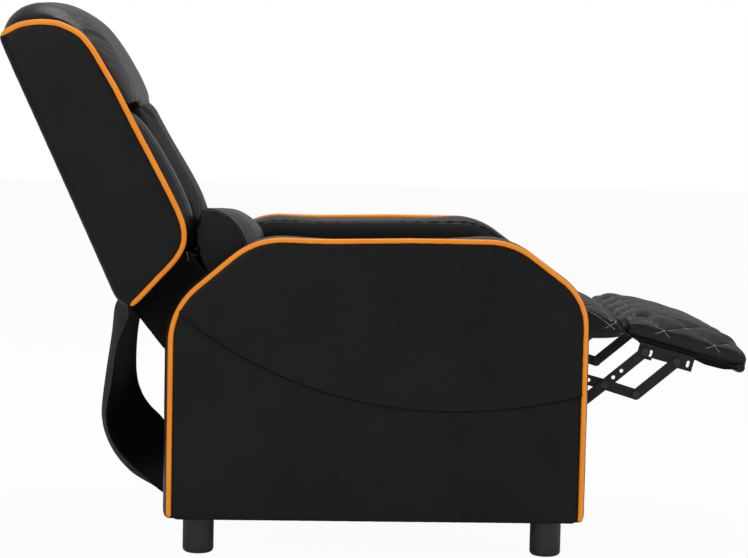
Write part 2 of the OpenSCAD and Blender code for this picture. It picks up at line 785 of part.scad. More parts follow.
module footrest_bracket() {
    on_footrest() {
        difference() {
            union() {
                plate(inner_layer, plate_thickness)
                    difference() {
                        union() {
                            translate([-bracket_start, -bracket_half])
                                square([bracket_long, bracket_half + board_offset]);
                        }
                        translate([cut_start, -bracket_half - bar_width])
                            square([cut_end - cut_start, bar_width * 1.25]);
                    }
                translate([-bracket_start, plate_thickness - inner_layer - over,
                    board_offset - plate_thickness])
                    cube([bracket_long, bar_width + over, plate_thickness]);
            }
            for (at = [[0, 0], second_pin])
                rod_y(at, inner_layer + over, plate_thickness + 2 * over, pin_radius + pin_play);
            for (x = slot_places)
                plate(inner_layer + over, plate_thickness + 2 * over)
                    slot([x, 0], 90, slot_length, slot_width);
        }
    }
}

module footrest_board_part() {
    on_footrest()
        translate([-footrest_pad_start + bar_width / 2, -seat_reach, board_offset])
            cube([footrest_board_length, 2 * seat_reach, footrest_board_thickness]);
}

// Pad: rings along its length; each ring runs over the quilted top and back along the flat underside.
pad_base = board_offset + footrest_board_thickness;
pad_columns = 33;
pad_row_shares = [0, 0.012, 0.045, 0.09, 0.15, 0.21, 0.27, 0.33, 0.39, 0.45, 0.51, 0.57, 0.63, 0.69, 0.75,
    0.81, 0.865, 0.915];
// The pad's front border is folded down over the end of the board.
lip_share = (footrest_board_length + bar_width / 2 + soft_gap) / footrest_pad_length;
lip_row_shares = [0.03, 0.35, 0.7, 0.9, 1];
function pad_floor(s) = s > lip_share ? mix(board_offset - plate_thickness / 2, pad_base,
    pow((s - lip_share) / (1 - lip_share), 3)) : pad_base;
pad_half = seat_half - plate_gap;

function quilt(x, y) =
    let(a = (x + y) / quilt_pitch * 180, b = (x - y) / quilt_pitch * 180)
    quilt_depth * (pow(abs(sin(a)), 0.7) + pow(abs(sin(b)), 0.7) - 2);

function pad_ring(s) =
    let(f = full(2 * s - 1, 6), x = s * footrest_pad_length - footrest_pad_start)
    concat(
        [for (i = [0:pad_columns]) let(t = 2 * i / pad_columns - 1, g = full(t, 7), y = t * pad_half,
            h = mix(footrest_edge_thickness, footrest_pad_crown, (1 - pow(t, 4)) * f)
                - footrest_pad_fall * s * s)
            [x, y * mix(0.975, 1, f),
             pad_base + h * mix(0.12, 1, f) * mix(0.25, 1, g) + quilt(x, y) * f * g]],
        [for (i = [0:4]) let(t = 1 - i / 2) [x, t * pad_half * mix(0.96, 0.985, f), pad_floor(s)]]);

// Back, drawn upright from its hinge and then leaned.
module on_back() {
    translate([hinge_place, 0, hinge_height]) rotate([0, -back_lean, 0]) children();
}

bracket_inner = lower_back_reach;
bracket_gap = base_reach - plate_thickness - lower_back_reach - bracket_thickness;

rear_face = -15;
front_seam = rear_face + back_depth;
wing_seam = [
    [rear_face - seam_inset, wing_rear_low - seam_inset / 2], [front_seam, wing_front_low],
    [front_seam - back_depth * 0.104, back_height * 0.877],
    [front_seam - back_depth * 0.27, back_height * 0.959],
    [rear_face + back_depth * 0.374, back_height], [rear_face + back_depth * 0.06, back_height]];
wing_seam_radii = [wing_rear_radius, wing_low_radius, wing_top_radius, wing_top_radius, wing_top_radius,
    wing_rear_radius];
wing_points = grown(wing_seam, -seam_inset);
wing_radii = grown_radii(wing_seam_radii, -seam_inset);
wing_outer = wing_reach - wing_panel_thickness;
wing_inner = wing_reach - wing_width;
middle_reach = wing_inner - bolster_width;
shell_front = rear_face + shell_depth;
lower_front = front_seam - wing_width / 2;

lower_points = [
    [rear_face + back_depth * 0.25, lower_back_end], [lower_front - wing_width / 2, lower_back_end],
    [shell_front, lower_back_end + wing_width / 2], [shell_front, wing_rear_low + wing_width],
    [rear_face, wing_rear_low + wing_width], [rear_face, wing_rear_low + wing_width / 2]];

cavity_rear = rear_face + back_rail_depth + frame_board;
cavity_reach = lower_back_reach - bracket_thickness;
cavity_low = lower_back_end + frame_board;
cavity_high = back_height * 0.89;

module cavity() {
    translate([cavity_rear, -cavity_reach, cavity_low])
        cube([back_rail_depth, 2 * cavity_reach, cavity_high - cavity_low]);
}

module wing_outline() {
    outline(wing_points, wing_radii);
}

module back_shell_part() {
    on_back()
        difference() {
            plate(wing_inner, 2 * wing_inner)
                intersection() {
                    wing_outline();
                    translate([rear_face, 0]) square([shell_depth, head_low]);
                }
            cavity();
        }
}

module lower_back_part() {
    on_back()
        difference() {
            plate(lower_back_reach, 2 * lower_back_reach)
                difference() {
                    polygon(lower_points);
                    wing_outline();
                }
            cavity();
        }
}

back_rail_shares = [0, 0.42, 1];
module back_frame_part() {
    high = cavity_high - cavity_low;
    on_back() {
        both()
            translate([cavity_rear, -cavity_reach, cavity_low])
                cube([back_rail_depth, back_rail_width, high]);
        for (u = back_rail_shares)
            translate([cavity_rear, back_rail_width - cavity_reach,
                cavity_low + u * (high - back_rail_width)])
                cube([back_rail_depth, 2 * (cavity_reach - back_rail_width), back_rail_width]);
    }
}

// Belts spread evenly in each window between the rails.
back_belt_counts = [2, 4];
module back_webbing_part() {
    run = cavity_high - cavity_low - back_rail_width;
    on_back()
        for (k = [0, 1]) {
            low = cavity_low + back_rail_shares[k] * run + back_rail_width;
            window = (back_rail_shares[k + 1] - back_rail_shares[k]) * run - back_rail_width;
            for (i = [1:back_belt_counts[k]])
                translate([cavity_rear + back_rail_depth - belt_thickness, back_rail_width - cavity_reach,
                    low + window * (i - 0.5) / back_belt_counts[k] - belt_width / 2])
                    cube([belt_thickness, 2 * (cavity_reach - back_rail_width), belt_width]);
        }
}

module wing() {
    on_back()
        plate(wing_outer, wing_outer - wing_inner) outline(wing_points, wing_radii);
}

module wing_panel() {
    on_back()
        plate(wing_reach, wing_panel_thickness) outline(wing_points, wing_radii);
}

module wing_piping() {
    on_back()
        loft(tube_rings(run_points(wing_seam, wing_seam_radii, 0, 5, arm_steps, 0),
            wing_reach - piping_radius, piping_radius));
}

// Soft pads on the back, as side profiles that are fuller in the middle.
head_low = back_height * 0.91;

function head_ring(t) =
    let(f = full(t, 5), swell = bolster_swell * mix(0.55, 1, f),
        rise = head_rise * mix(0.3, 1, 1 - pow(abs(t), 3)),
        depth = front_seam - rear_face, low = back_height - head_low)
    [for (q = concat(softened_run([
        [shell_front + soft_gap, head_crease + soft_gap],
        [front_seam + swell * 0.3, head_crease + soft_gap],
        [front_seam + swell, head_crease + depth * 0.1],
        [front_seam + swell * 0.95, head_crease + depth * 0.4],
        [front_seam + swell * 0.3, mix(head_crease, back_height, 0.62)],
        [front_seam - depth * 0.1, mix(head_crease, back_height, 0.84)],
        [rear_face + depth * 0.77, back_height - low * 0.05 + rise * 0.1],
        [rear_face + depth * 0.6, back_height + rise * 0.72],
        [rear_face + depth * 0.42, back_height + rise * 1.02],
        [rear_face + depth * 0.26, back_height + rise * 1.02],
        [rear_face + depth * 0.12, back_height + rise * 0.66],
        [rear_face + depth * 0.05, back_height - low * 0.1],
        [rear_face + depth * 0.035, back_height - low * 0.5],
        [rear_face + depth * 0.04, head_low + soft_gap]]),
        [[rear_face + depth * 0.3, head_low + soft_gap], [shell_front + soft_gap, head_low + soft_gap],
        [shell_front + soft_gap, head_low - low * 0.6]]))
        [q[0], t * (wing_inner - soft_gap), q[1]]];
end_slices = [-1, -0.97, -0.88, -0.6, -0.2, 0.2, 0.6, 0.88, 0.97, 1];
pillow_slices = [-1, -0.98, -0.92, -0.8, -0.65, -0.35, 0, 0.35, 0.65, 0.8, 0.92, 0.98, 1];

// A pad between two side planes and two heights, swelling from its rear face. Its lower end may rise.
function pad_profile(low, high, rear, front, f, rise) =
    let(d = front - rear, tall = high - low, near = d / 2)
    softened(softened([
        [rear, low], [rear + d * mix(0.3, 0.75, f), low + rise * 0.75],
        [rear + d * mix(0.5, 1, f), low + rise + min(near, tall / 4)],
        [rear + d * mix(0.5, 1, f), (low + high) / 2],
        [rear + d * mix(0.5, 1, f), high - min(near, tall / 4)], [rear + d * mix(0.3, 0.75, f), high],
        [rear, high], [rear, (low + high) / 2]]));

module soft_pad(low, high, rear, front, y0, y1, power, rise = 0) {
    loft([for (t = end_slices)
        [for (q = pad_profile(low, high, rear, front, full(t, power), rise))
            [q[0], (y0 + y1) / 2 + t * (y1 - y0) / 2, q[1]]]]);
}

pad_low = wing_rear_low + wing_width;
module bolster() {
    on_back()
        soft_pad(pad_low + bolster_gap, head_crease, shell_front + soft_gap, front_seam + bolster_swell,
            -wing_inner + soft_gap, -middle_reach - soft_gap, 2.4, bolster_rise);
}

module middle_pad_part() {
    on_back()
        soft_pad(pad_low + soft_gap, head_crease, shell_front + soft_gap, front_seam + middle_swell,
            -middle_reach, middle_reach, 6);
}

module lower_pad_part() {
    on_back()
        soft_pad(lower_back_end + wing_width / 2, pad_low - soft_gap, shell_front + soft_gap,
            front_seam - wing_width / 3, -lower_back_reach + soft_gap, lower_back_reach - soft_gap, 6);
}

// Lumbar pillow: half round in front. Its rear lies on the lower pad and, above it, on the middle pad; its
// ends bend back to the bolsters.
pillow_lift = middle_swell - bolster_swell;
pillow_steps = 10;
pillow_high_share = 0.54;
function pillow_ring(t) =
    let(f = full(t, 4), d = (pillow_depth + pillow_crown * (1 - t * t)) * mix(0.93, 1, f),
        rear = front_seam + bolster_swell + soft_gap + pillow_lift * min(1, (1 - abs(t)) / 0.35),
        low_rear = front_seam - wing_width / 3 + 2 * soft_gap,
        high = pillow_height * pillow_high_share, deep = pillow_height - high,
        middle = pillow_place + deep, top = mix(-pillow_sag, 0, pow(abs(t), 2)), y = t * pillow_reach)
    concat(
        [for (i = [0:pillow_steps]) let(a = -90 + 180 * i / pillow_steps)
            [rear + d * pow(cos(a), 0.9), y,
             middle + (a > 0 ? high + top : deep) * mix(0.96, 1, f) * sin(a)]],
        [[rear, y, middle + high * 0.78 + top], [mix(low_rear, rear, 0.62), y, pad_low - 4 * soft_gap],
         [low_rear + pillow_depth / 8, y, pad_low - 5 * soft_gap], [low_rear, y, pad_low - pillow_depth / 8],
         [low_rear, y, mix(pillow_place, pad_low, 0.3)],
         [mix(low_rear, rear, 0.4), y, pillow_place + pillow_depth / 16]]);

// Back brackets: steel arms from the frame down to the hinge.
bolt_line = cavity_rear + back_rail_depth / 2;
module back_bracket() {
    on_back()
        plate(bracket_inner + bracket_thickness, bracket_thickness)
            difference() {
                bent_bar([[0, 0], [bolt_line, cavity_low + back_rail_width],
                    [bolt_line, cavity_low + 3 * back_rail_width]], 1.5 * bar_width);
                circle(r = pin_radius + pin_play);
            }
}

module back_bolts_part() {
    on_back()
        both()
            for (u = [1, 2, 3])
                rod_y([bolt_line, cavity_low + u * back_rail_width],
                    bracket_inner + bracket_thickness + head_thickness, head_thickness, head_radius);
}

// Rear flap: a hanging sheet from the back's lower rear edge to the base's rear rail.
function to_world(q) = hinge + [q[0] * cos(back_lean) - q[1] * sin(back_lean),
    q[0] * sin(back_lean) + q[1] * cos(back_lean)];
flap_top = to_world([rear_face - soft_gap, wing_rear_low + wing_width / 2]);
flap_end = [-flap_thickness - soft_gap, cross_rail_low + plate_thickness];
flap_drop = flap_top[1] - flap_end[1];
// Places along the flap: share of its drop, rearward reach as a share of the drop, share of the swell.
flap_shares = [[0, 0.0, 0.0], [0.06, 0.012, 0.5], [0.18, 0.02, 0.95], [0.31, 0.035, 1.0], [0.44, 0.055, 0.9],
    [0.55, 0.068, 0.7], [0.64, 0.075, 0.5], [0.72, 0.07, 0.35], [0.79, 0.045, 0.25], [0.86, 0.0, 0.16],
    [0.92, -0.075, 0.1], [0.965, -0.155, 0.04], [1, 0, 0]];
module rear_flap_part() {
    n = len(flap_shares);
    cols = 8;
    line = [for (i = [0:n - 1]) let(q = flap_shares[i])
        i == n - 1 ? flap_end : [flap_top[0] - q[1] * flap_drop, flap_top[1] - q[0] * flap_drop]];
    side = [for (i = [0:n - 1]) let(a = line[max(i - 1, 0)], b = line[min(i + 1, n - 1)])
        right_of(unit(b - a))];
    strip_loft([for (c = [0:cols])
        let(t = 2 * c / cols - 1, y = t * flap_reach,
            rear = [for (i = [0:n - 1]) line[i] + side[i] * (flap_swell * flap_shares[i][2] * (1 - t * t)
                + flap_thickness)],
            fore = [for (i = [0:n - 1]) line[i] + side[i] * flap_swell * flap_shares[i][2] * (1 - t * t)])
        concat([for (q = rear) [q[0], y, q[1]]], [for (i = [n - 1:-1:0]) [fore[i][0], y, fore[i][1]]])]);
}

// The box of the chair is centred on the origin: from the head's rear corner to the footrest's tip.
rear_extent = -to_world([rear_face + back_depth * 0.1, back_height + head_rise * 0.6])[0];
front_extent = toe[0] + (footrest_pad_length - footrest_pad_start) * cos(board_lean)
    + (pad_base + footrest_edge_thickness / 2) * sin(board_lean);
shift = (rear_extent - front_extent) / 2;

module placed() {
    translate([shift, 0, 0]) children();
}

module arm_frame_right() { color(wood) placed() arm_frame(); }
module arm_frame_left() { color(wood) placed() left() arm_frame(); }
module arm_band_right() { color(soft_black) placed() arm_band(); }
module arm_band_left() { color(soft_black) placed() left() arm_band(); }
module arm_upper_panel_right() { color(soft_black) placed() arm_upper_panel(); }
module arm_upper_panel_left() { color(soft_black) placed() left() arm_upper_panel(); }
module arm_lower_panel_right() { color(black) placed() arm_lower_panel(); }
module arm_lower_panel_left() { color(black) placed() left() arm_lower_panel(); }
module arm_inner_panel_right() { color(black) placed() arm_inner_panel(); }
module arm_inner_panel_left() { color(black) placed() left() arm_inner_panel(); }
module arm_piping_right() { color(orange) placed() arm_piping(); }
module arm_piping_left() { color(orange) placed() left() arm_piping(); }
module foot_rear_right() { color(black) placed() foot(rear_foot_place); }
module foot_rear_left() { color(black) placed() left() foot(rear_foot_place); }
module foot_front_right() { color(black) placed() foot(arm_length - front_foot_place); }
module foot_front_left() { color(black) placed() left() foot(arm_length - front_foot_place); }
module foot_studs() { color(zinc) placed() foot_studs_part(); }
module base_rear_rail() { color(wood) placed() base_rail(0); }
module base_front_rail() { color(wood) placed() base_rail(front_rail_place); }
module base_plate_right() { color(steel) placed() base_plate(); }
module base_plate_left() { color(steel) placed() left() base_plate(); }
module base_pins() { color(zinc) placed() both() base_pins_side(); }
module rear_flap() { color(soft_black) placed() rear_flap_part(); }
module front_swing_links() { color(steel) placed() both() swing_link(front_low, front_top, pin_play); }
module torque_tube() { color(steel) placed() torque_tube_part(); }
module rear_swing_links() { color(steel) placed() both() swing_link(rear_low, rear_top, loop_play / 3); }
module seat_side_rails() { color(wood) placed() seat_side_rails_part(); }
module seat_cross_rails() { color(wood) placed() seat_cross_rails_part(); }
module seat_webbing() { color(belt) placed() seat_webbing_part(); }
module seat_cushion() { color(soft_black) placed() loft([for (t = seat_slices) seat_ring(t)]); }
module seat_plates() { color(steel) placed() both() seat_plate(); }
module seat_pins() { color(zinc) placed() both() seat_pins_side(); }
module cross_links() { color(steel) placed() both() cross_link(); }
module cross_rivets() {
    color(zinc) placed() both() {
        rivet(crossing, true);
        rivet(elbow, true);
    }
}
module long_links() { color(steel) placed() both() long_link(); }
module long_rivets() {
    color(zinc) placed() both() {
        rivet(toe, false);
        rivet(tail, false);
    }
}
module front_links() { color(steel) placed() both() front_link(); }
module drag_links() { color(steel) placed() both() drag_link(); }
module footrest_brackets() { color(steel) placed() both() footrest_bracket(); }
module footrest_rivets() { color(zinc) placed() both() rivet(heel, true); }
module footrest_board() { color(wood) placed() footrest_board_part(); }
module footrest_pad() {
    color(soft_black) placed() on_footrest()
        loft([for (s = concat(pad_row_shares, [lip_share], [for (v = lip_row_shares) mix(lip_share, 1, v)]))
            pad_ring(s)]);
}
module back_frame() { color(wood) placed() back_frame_part(); }
module back_webbing() { color(belt) placed() back_webbing_part(); }
module back_shell() { color(black) placed() back_shell_part(); }
module lower_back() { color(black) placed() lower_back_part(); }
module wing_right() { color(soft_black) placed() wing(); }
module wing_left() { color(soft_black) placed() left() wing(); }
module wing_panel_right() { color(soft_black) placed() wing_panel(); }
module wing_panel_left() { color(soft_black) placed() left() wing_panel(); }
module wing_piping_right() { color(orange) placed() wing_piping(); }
module wing_piping_left() { color(orange) placed() left() wing_piping(); }
module head_cushion() {
    eye = [shell_front + wing_width / 2, wing_inner - soft_gap, head_low + wing_width / 3];
    color(soft_black) placed() on_back()
        loft([for (t = end_slices) head_ring(t)], [[eye[0], -eye[1], eye[2]], eye]);
}
module bolster_right() { color(soft_black) placed() bolster(); }
module bolster_left() { color(soft_black) placed() left() bolster(); }
module middle_pad() { color(black) placed() middle_pad_part(); }
module lower_pad() { color(black) placed() lower_pad_part(); }
module lumbar_pillow() {
    color(soft_black) placed() on_back() loft([for (t = pillow_slices) pillow_ring(t)]);
}
module back_brackets() { color(steel) placed() both() back_bracket(); }
module back_bolts() { color(zinc) placed() back_bolts_part(); }

arm_frame_right();
arm_band_right();
arm_upper_panel_right();
arm_lower_panel_right();
arm_inner_panel_right();
arm_piping_right();
arm_frame_left();
arm_band_left();
arm_upper_panel_left();
arm_lower_panel_left();
arm_inner_panel_left();
arm_piping_left();
foot_rear_right();
foot_rear_left();
foot_front_right();
foot_front_left();
foot_studs();
base_rear_rail();
base_front_rail();
base_plate_right();
base_plate_left();
base_pins();
rear_flap();
front_swing_links();
torque_tube();
rear_swing_links();
seat_side_rails();
seat_cross_rails();
seat_webbing();
seat_cushion();
seat_plates();
seat_pins();
cross_links();
cross_rivets();
long_links();
long_rivets();
front_links();
drag_links();
footrest_brackets();
footrest_rivets();
footrest_board();
footrest_pad();
back_frame();
back_webbing();
back_shell();
lower_back();
wing_right();
wing_left();
wing_panel_right();
wing_panel_left();
wing_piping_right();
wing_piping_left();
head_cushion();
bolster_right();
bolster_left();
middle_pad();
lower_pad();
lumbar_pillow();
back_brackets();
back_bolts();
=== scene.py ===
"""Looks of a push-back recliner with a scissor-linked footrest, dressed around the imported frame.

Lengths in the tables are millimetres, counted from the rear seam of the arms and from the floor.
"""

import json
import math

import bpy
import numpy as np
from mathutils import Matrix, Vector
from mathutils.bvhtree import BVHTree


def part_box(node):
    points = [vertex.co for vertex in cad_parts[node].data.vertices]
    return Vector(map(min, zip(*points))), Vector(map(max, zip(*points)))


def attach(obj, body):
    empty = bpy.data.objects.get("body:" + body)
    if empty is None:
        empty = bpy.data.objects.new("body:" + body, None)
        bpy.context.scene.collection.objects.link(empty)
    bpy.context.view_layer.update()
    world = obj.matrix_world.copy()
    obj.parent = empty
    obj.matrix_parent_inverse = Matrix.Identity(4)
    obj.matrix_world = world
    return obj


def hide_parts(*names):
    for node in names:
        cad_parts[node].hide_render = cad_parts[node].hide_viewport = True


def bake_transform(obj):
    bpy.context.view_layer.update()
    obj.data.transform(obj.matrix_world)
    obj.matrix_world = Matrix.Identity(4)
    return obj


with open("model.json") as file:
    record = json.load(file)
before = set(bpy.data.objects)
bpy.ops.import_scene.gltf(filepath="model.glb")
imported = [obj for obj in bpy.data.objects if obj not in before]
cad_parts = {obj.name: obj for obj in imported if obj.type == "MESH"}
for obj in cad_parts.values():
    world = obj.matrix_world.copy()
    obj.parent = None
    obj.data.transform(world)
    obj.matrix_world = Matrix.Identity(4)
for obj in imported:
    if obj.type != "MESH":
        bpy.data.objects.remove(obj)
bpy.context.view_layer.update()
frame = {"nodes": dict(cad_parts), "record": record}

MM = 0.001
foot_low, foot_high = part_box("foot_rear_right")
SHIFT = (foot_low[0] + foot_high[0]) / 2 - 0.054
HINGE = (18.0, 265.0)
BACK_LEAN = math.radians(26)
TOE = (896.635, 380.348)
REST_LEAN = math.radians(15)


# Camera, floor and light.
def aim_camera():
    yaw, pitch, roll = math.radians(2.93), math.radians(-4.99), math.radians(1.19)
    ahead = Vector((math.sin(yaw) * math.cos(pitch), math.cos(yaw) * math.cos(pitch), math.sin(pitch)))
    right = Vector((math.cos(yaw), -math.sin(yaw), 0))
    up = right.cross(ahead)
    side = right * math.cos(roll) + up * math.sin(roll)
    top = up * math.cos(roll) - right * math.sin(roll)
    turn = Matrix((side, top, -ahead)).transposed().to_4x4()
    data = bpy.data.cameras.new("photo_camera")
    data.lens, data.sensor_width, data.sensor_fit = 107.46, 36, "HORIZONTAL"
    data.clip_end = 60
    camera = bpy.data.objects.new("photo_camera", data)
    camera.matrix_world = Matrix.Translation((0.1621 + SHIFT, -4.4543, 0.8784)) @ turn
    bpy.context.scene.collection.objects.link(camera)
    bpy.context.scene.camera = camera


def soft_lamp(name, place, aim, width, power):
    data = bpy.data.lights.new(name, "AREA")
    data.shape, data.size, data.energy = "DISK", width, power
    lamp = bpy.data.objects.new(name, data)
    lamp.location = place
    lamp.rotation_euler = (Vector(aim) - Vector(place)).to_track_quat("-Z", "Y").to_euler()
    bpy.context.scene.collection.objects.link(lamp)


def pale_world(strength):
    world = bpy.data.worlds.new("studio")
    bpy.context.scene.world = world
    world.use_nodes = True
    tree = world.node_tree
    tree.nodes.clear()
    out = tree.nodes.new("ShaderNodeOutputWorld")
    mix = tree.nodes.new("ShaderNodeMixShader")
    lit, seen = tree.nodes.new("ShaderNodeBackground"), tree.nodes.new("ShaderNodeBackground")
    lit.inputs["Color"].default_value = seen.inputs["Color"].default_value = (1, 1, 1, 1)
    lit.inputs["Strength"].default_value = strength
    path = tree.nodes.new("ShaderNodeLightPath")
    tree.links.new(path.outputs["Is Camera Ray"], mix.inputs["Fac"])
    tree.links.new(lit.outputs[0], mix.inputs[1])
    tree.links.new(seen.outputs[0], mix.inputs[2])
    tree.links.new(mix.outputs[0], out.inputs[0])


def pale_floor():
    bpy.ops.mesh.primitive_plane_add(size=30, location=(0, 0, -0.0005))
    floor = bpy.context.object
    floor.name = "floor"
    mat = bpy.data.materials.new("pale_floor")
    mat.use_nodes = True
    tree = mat.node_tree
    out = tree.nodes["Material Output"]
    skin = tree.nodes["Principled BSDF"]
    skin.inputs["Base Color"].default_value = (0.88, 0.88, 0.88, 1)
    skin.inputs["Roughness"].default_value = 0.9
    glow, mix = tree.nodes.new("ShaderNodeEmission"), tree.nodes.new("ShaderNodeMixShader")
    path, share = tree.nodes.new("ShaderNodeLightPath"), tree.nodes.new("ShaderNodeMath")
    share.operation = "MULTIPLY"
    share.inputs[1].default_value = 0.95
    tree.links.new(path.outputs["Is Camera Ray"], share.inputs[0])
    tree.links.new(share.outputs[0], mix.inputs["Fac"])
    tree.links.new(skin.outputs[0], mix.inputs[1])
    tree.links.new(glow.outputs[0], mix.inputs[2])
    tree.links.new(mix.outputs[0], out.inputs["Surface"])
    floor.data.materials.append(mat)


bpy.context.scene.view_settings.view_transform = "Standard"
aim_camera()
pale_world(0.43)
pale_floor()
soft_lamp("overhead_softbox", (0.1, 0.6, 3.2), (0, 0, 0.5), 2.6, 55)
soft_lamp("camera_side_softbox", (-1.6, -3.6, 2.2), (0, 0, 0.5), 2.4, 42)
soft_lamp("front_softbox", (3.4, -1.6, 1.9), (0.2, 0, 0.4), 2.0, 26)


# Materials. Groups hold the effects that several materials share.
def new_group(name, inputs, outputs):
    group = bpy.data.node_groups.new(name, "ShaderNodeTree")
    for label, kind, value in inputs:
        socket = group.interface.new_socket(label, in_out="INPUT", socket_type=kind)
        socket.default_value = value
    for label, kind in outputs:
        group.interface.new_socket(label, in_out="OUTPUT", socket_type=kind)
    return group, group.nodes.new("NodeGroupInput"), group.nodes.new("NodeGroupOutput")


def maths(tree, kind, a, b=None, clamp=False):
    node = tree.nodes.new("ShaderNodeMath")
    node.operation, node.use_clamp = kind, clamp
    for socket, value in zip(node.inputs, (a, b)):
        if value is None:
            continue
        if isinstance(value, (int, float)):
            socket.default_value = value
        else:
            tree.links.new(value, socket)
    return node.outputs[0]


def texture(tree, kind, scale, vector=None, **settings):
    node = tree.nodes.new(kind)
    if isinstance(scale, (int, float)):
        node.inputs["Scale"].default_value = scale
    else:
        tree.links.new(scale, node.inputs["Scale"])
    for key, value in settings.items():
        if hasattr(node, key):
            setattr(node, key, value)
        else:
            node.inputs[key.replace("_", " ").title()].default_value = value
    if vector is not None:
        tree.links.new(vector, node.inputs["Vector"])
    return node


def remap(tree, value, low, high, to_low, to_high):
    node = tree.nodes.new("ShaderNodeMapRange")
    tree.links.new(value, node.inputs["Value"])
    for label, number in (("From Min", low), ("From Max", high), ("To Min", to_low), ("To Max", to_high)):
        node.inputs[label].default_value = number
    return node.outputs["Result"]


def object_place(tree):
    return tree.nodes.new("ShaderNodeTexCoord").outputs["Object"]


def leather_grain_group():
    """Pebbled leather: pebbles, fine creases between them and slow cloudiness."""
    group, start, end = new_group(
        "leather_grain",
        [("Pebbles per Metre", "NodeSocketFloat", 700), ("Crease Depth", "NodeSocketFloat", 0.5)],
        [("Height", "NodeSocketFloat"), ("Shine", "NodeSocketFloat"), ("Cloud", "NodeSocketFloat")],
    )
    place = object_place(group)
    warp = texture(group, "ShaderNodeTexNoise", 160, place, detail=2.0)
    push = group.nodes.new("ShaderNodeVectorMath")
    push.operation = "MULTIPLY_ADD"
    group.links.new(warp.outputs["Color"], push.inputs[0])
    push.inputs[1].default_value = (0.0012, 0.0012, 0.0012)
    group.links.new(place, push.inputs[2])
    bent = push.outputs[0]
    pebbles = texture(group, "ShaderNodeTexVoronoi", start.outputs["Pebbles per Metre"], bent,
                      feature="SMOOTH_F1", smoothness=0.35)
    fine = texture(group, "ShaderNodeTexNoise", 2400, place, detail=2.0)
    veins = texture(group, "ShaderNodeTexVoronoi", 130, bent, feature="DISTANCE_TO_EDGE")
    dome = maths(group, "SUBTRACT", 1.0, pebbles.outputs["Distance"])
    vein = remap(group, veins.outputs["Distance"], 0.0, 0.12, 0.0, 1.0)
    vein = maths(group, "MULTIPLY", vein, start.outputs["Crease Depth"])
    height = maths(group, "ADD", dome, vein)
    height = maths(group, "ADD", height, maths(group, "MULTIPLY", fine.outputs["Fac"], 0.35))
    cloud = texture(group, "ShaderNodeTexNoise", 9, place, detail=4.0, roughness=0.6)
    group.links.new(height, end.inputs["Height"])
    group.links.new(maths(group, "MULTIPLY_ADD", dome, 0.5), end.inputs["Shine"])
    group.links.new(cloud.outputs["Fac"], end.inputs["Cloud"])
    return group


def edge_wear_group():
    """Scuffs and dust: a mask of fine scratches broken up by clouds."""
    group, start, end = new_group(
        "scuffs",
        [("Amount", "NodeSocketFloat", 0.3), ("Scale", "NodeSocketFloat", 60)],
        [("Mask", "NodeSocketFloat"), ("Cloud", "NodeSocketFloat")],
    )
    place = object_place(group)
    clouds = texture(group, "ShaderNodeTexNoise", start.outputs["Scale"], place, detail=6.0, roughness=0.65)
    lines = texture(group, "ShaderNodeTexNoise", 420, place, detail=3.0, distortion=1.2)
    mask = maths(group, "MULTIPLY", remap(group, clouds.outputs["Fac"], 0.5, 0.75, 0.0, 1.0),
                 remap(group, lines.outputs["Fac"], 0.5, 0.68, 0.0, 1.0))
    group.links.new(maths(group, "MULTIPLY", mask, start.outputs["Amount"], clamp=True), end.inputs["Mask"])
    group.links.new(clouds.outputs["Fac"], end.inputs["Cloud"])
    return group


GRAIN = leather_grain_group()
SCUFFS = edge_wear_group()


def blank(name):
    mat = bpy.data.materials.new(name)
    mat.use_nodes = True
    return mat, mat.node_tree, mat.node_tree.nodes["Principled BSDF"]


def tone(tree, fac, dark, light):
    ramp = tree.nodes.new("ShaderNodeValToRGB")
    ramp.color_ramp.elements[0].position, ramp.color_ramp.elements[1].position = 0.3, 0.7
    ramp.color_ramp.elements[0].color, ramp.color_ramp.elements[1].color = (*dark, 1), (*light, 1)
    tree.links.new(fac, ramp.inputs["Fac"])
    return ramp.outputs["Color"]


def group_node(tree, group, **values):
    node = tree.nodes.new("ShaderNodeGroup")
    node.node_tree = group
    for key, value in values.items():
        node.inputs[key.replace("_", " ")].default_value = value
    return node.outputs


def dress(tree, skin, colour, rough, height, distance, strength):
    """Wires a finish: its colour, its roughness as a number or a socket, and its bump."""
    tree.links.new(colour, skin.inputs["Base Color"])
    if isinstance(rough, float):
        skin.inputs["Roughness"].default_value = rough
    else:
        tree.links.new(rough, skin.inputs["Roughness"])
    node = tree.nodes.new("ShaderNodeBump")
    node.inputs["Strength"].default_value = strength
    node.inputs["Distance"].default_value = distance
    tree.links.new(height, node.inputs["Height"])
    tree.links.new(node.outputs["Normal"], skin.inputs["Normal"])


def leather(name, dark, light, rough, pebbles=700, crease=0.5, depth=0.00022, shine=0.25):
    mat, tree, skin = blank(name)
    grain = group_node(tree, GRAIN, Pebbles_per_Metre=pebbles, Crease_Depth=crease)
    dress(tree, skin, tone(tree, grain["Cloud"], dark, light),
          remap(tree, grain["Shine"], 0.2, 0.5, rough + 0.08, rough - 0.04), grain["Height"], depth, 0.55)
    skin.inputs["Specular IOR Level"].default_value = shine
    return mat


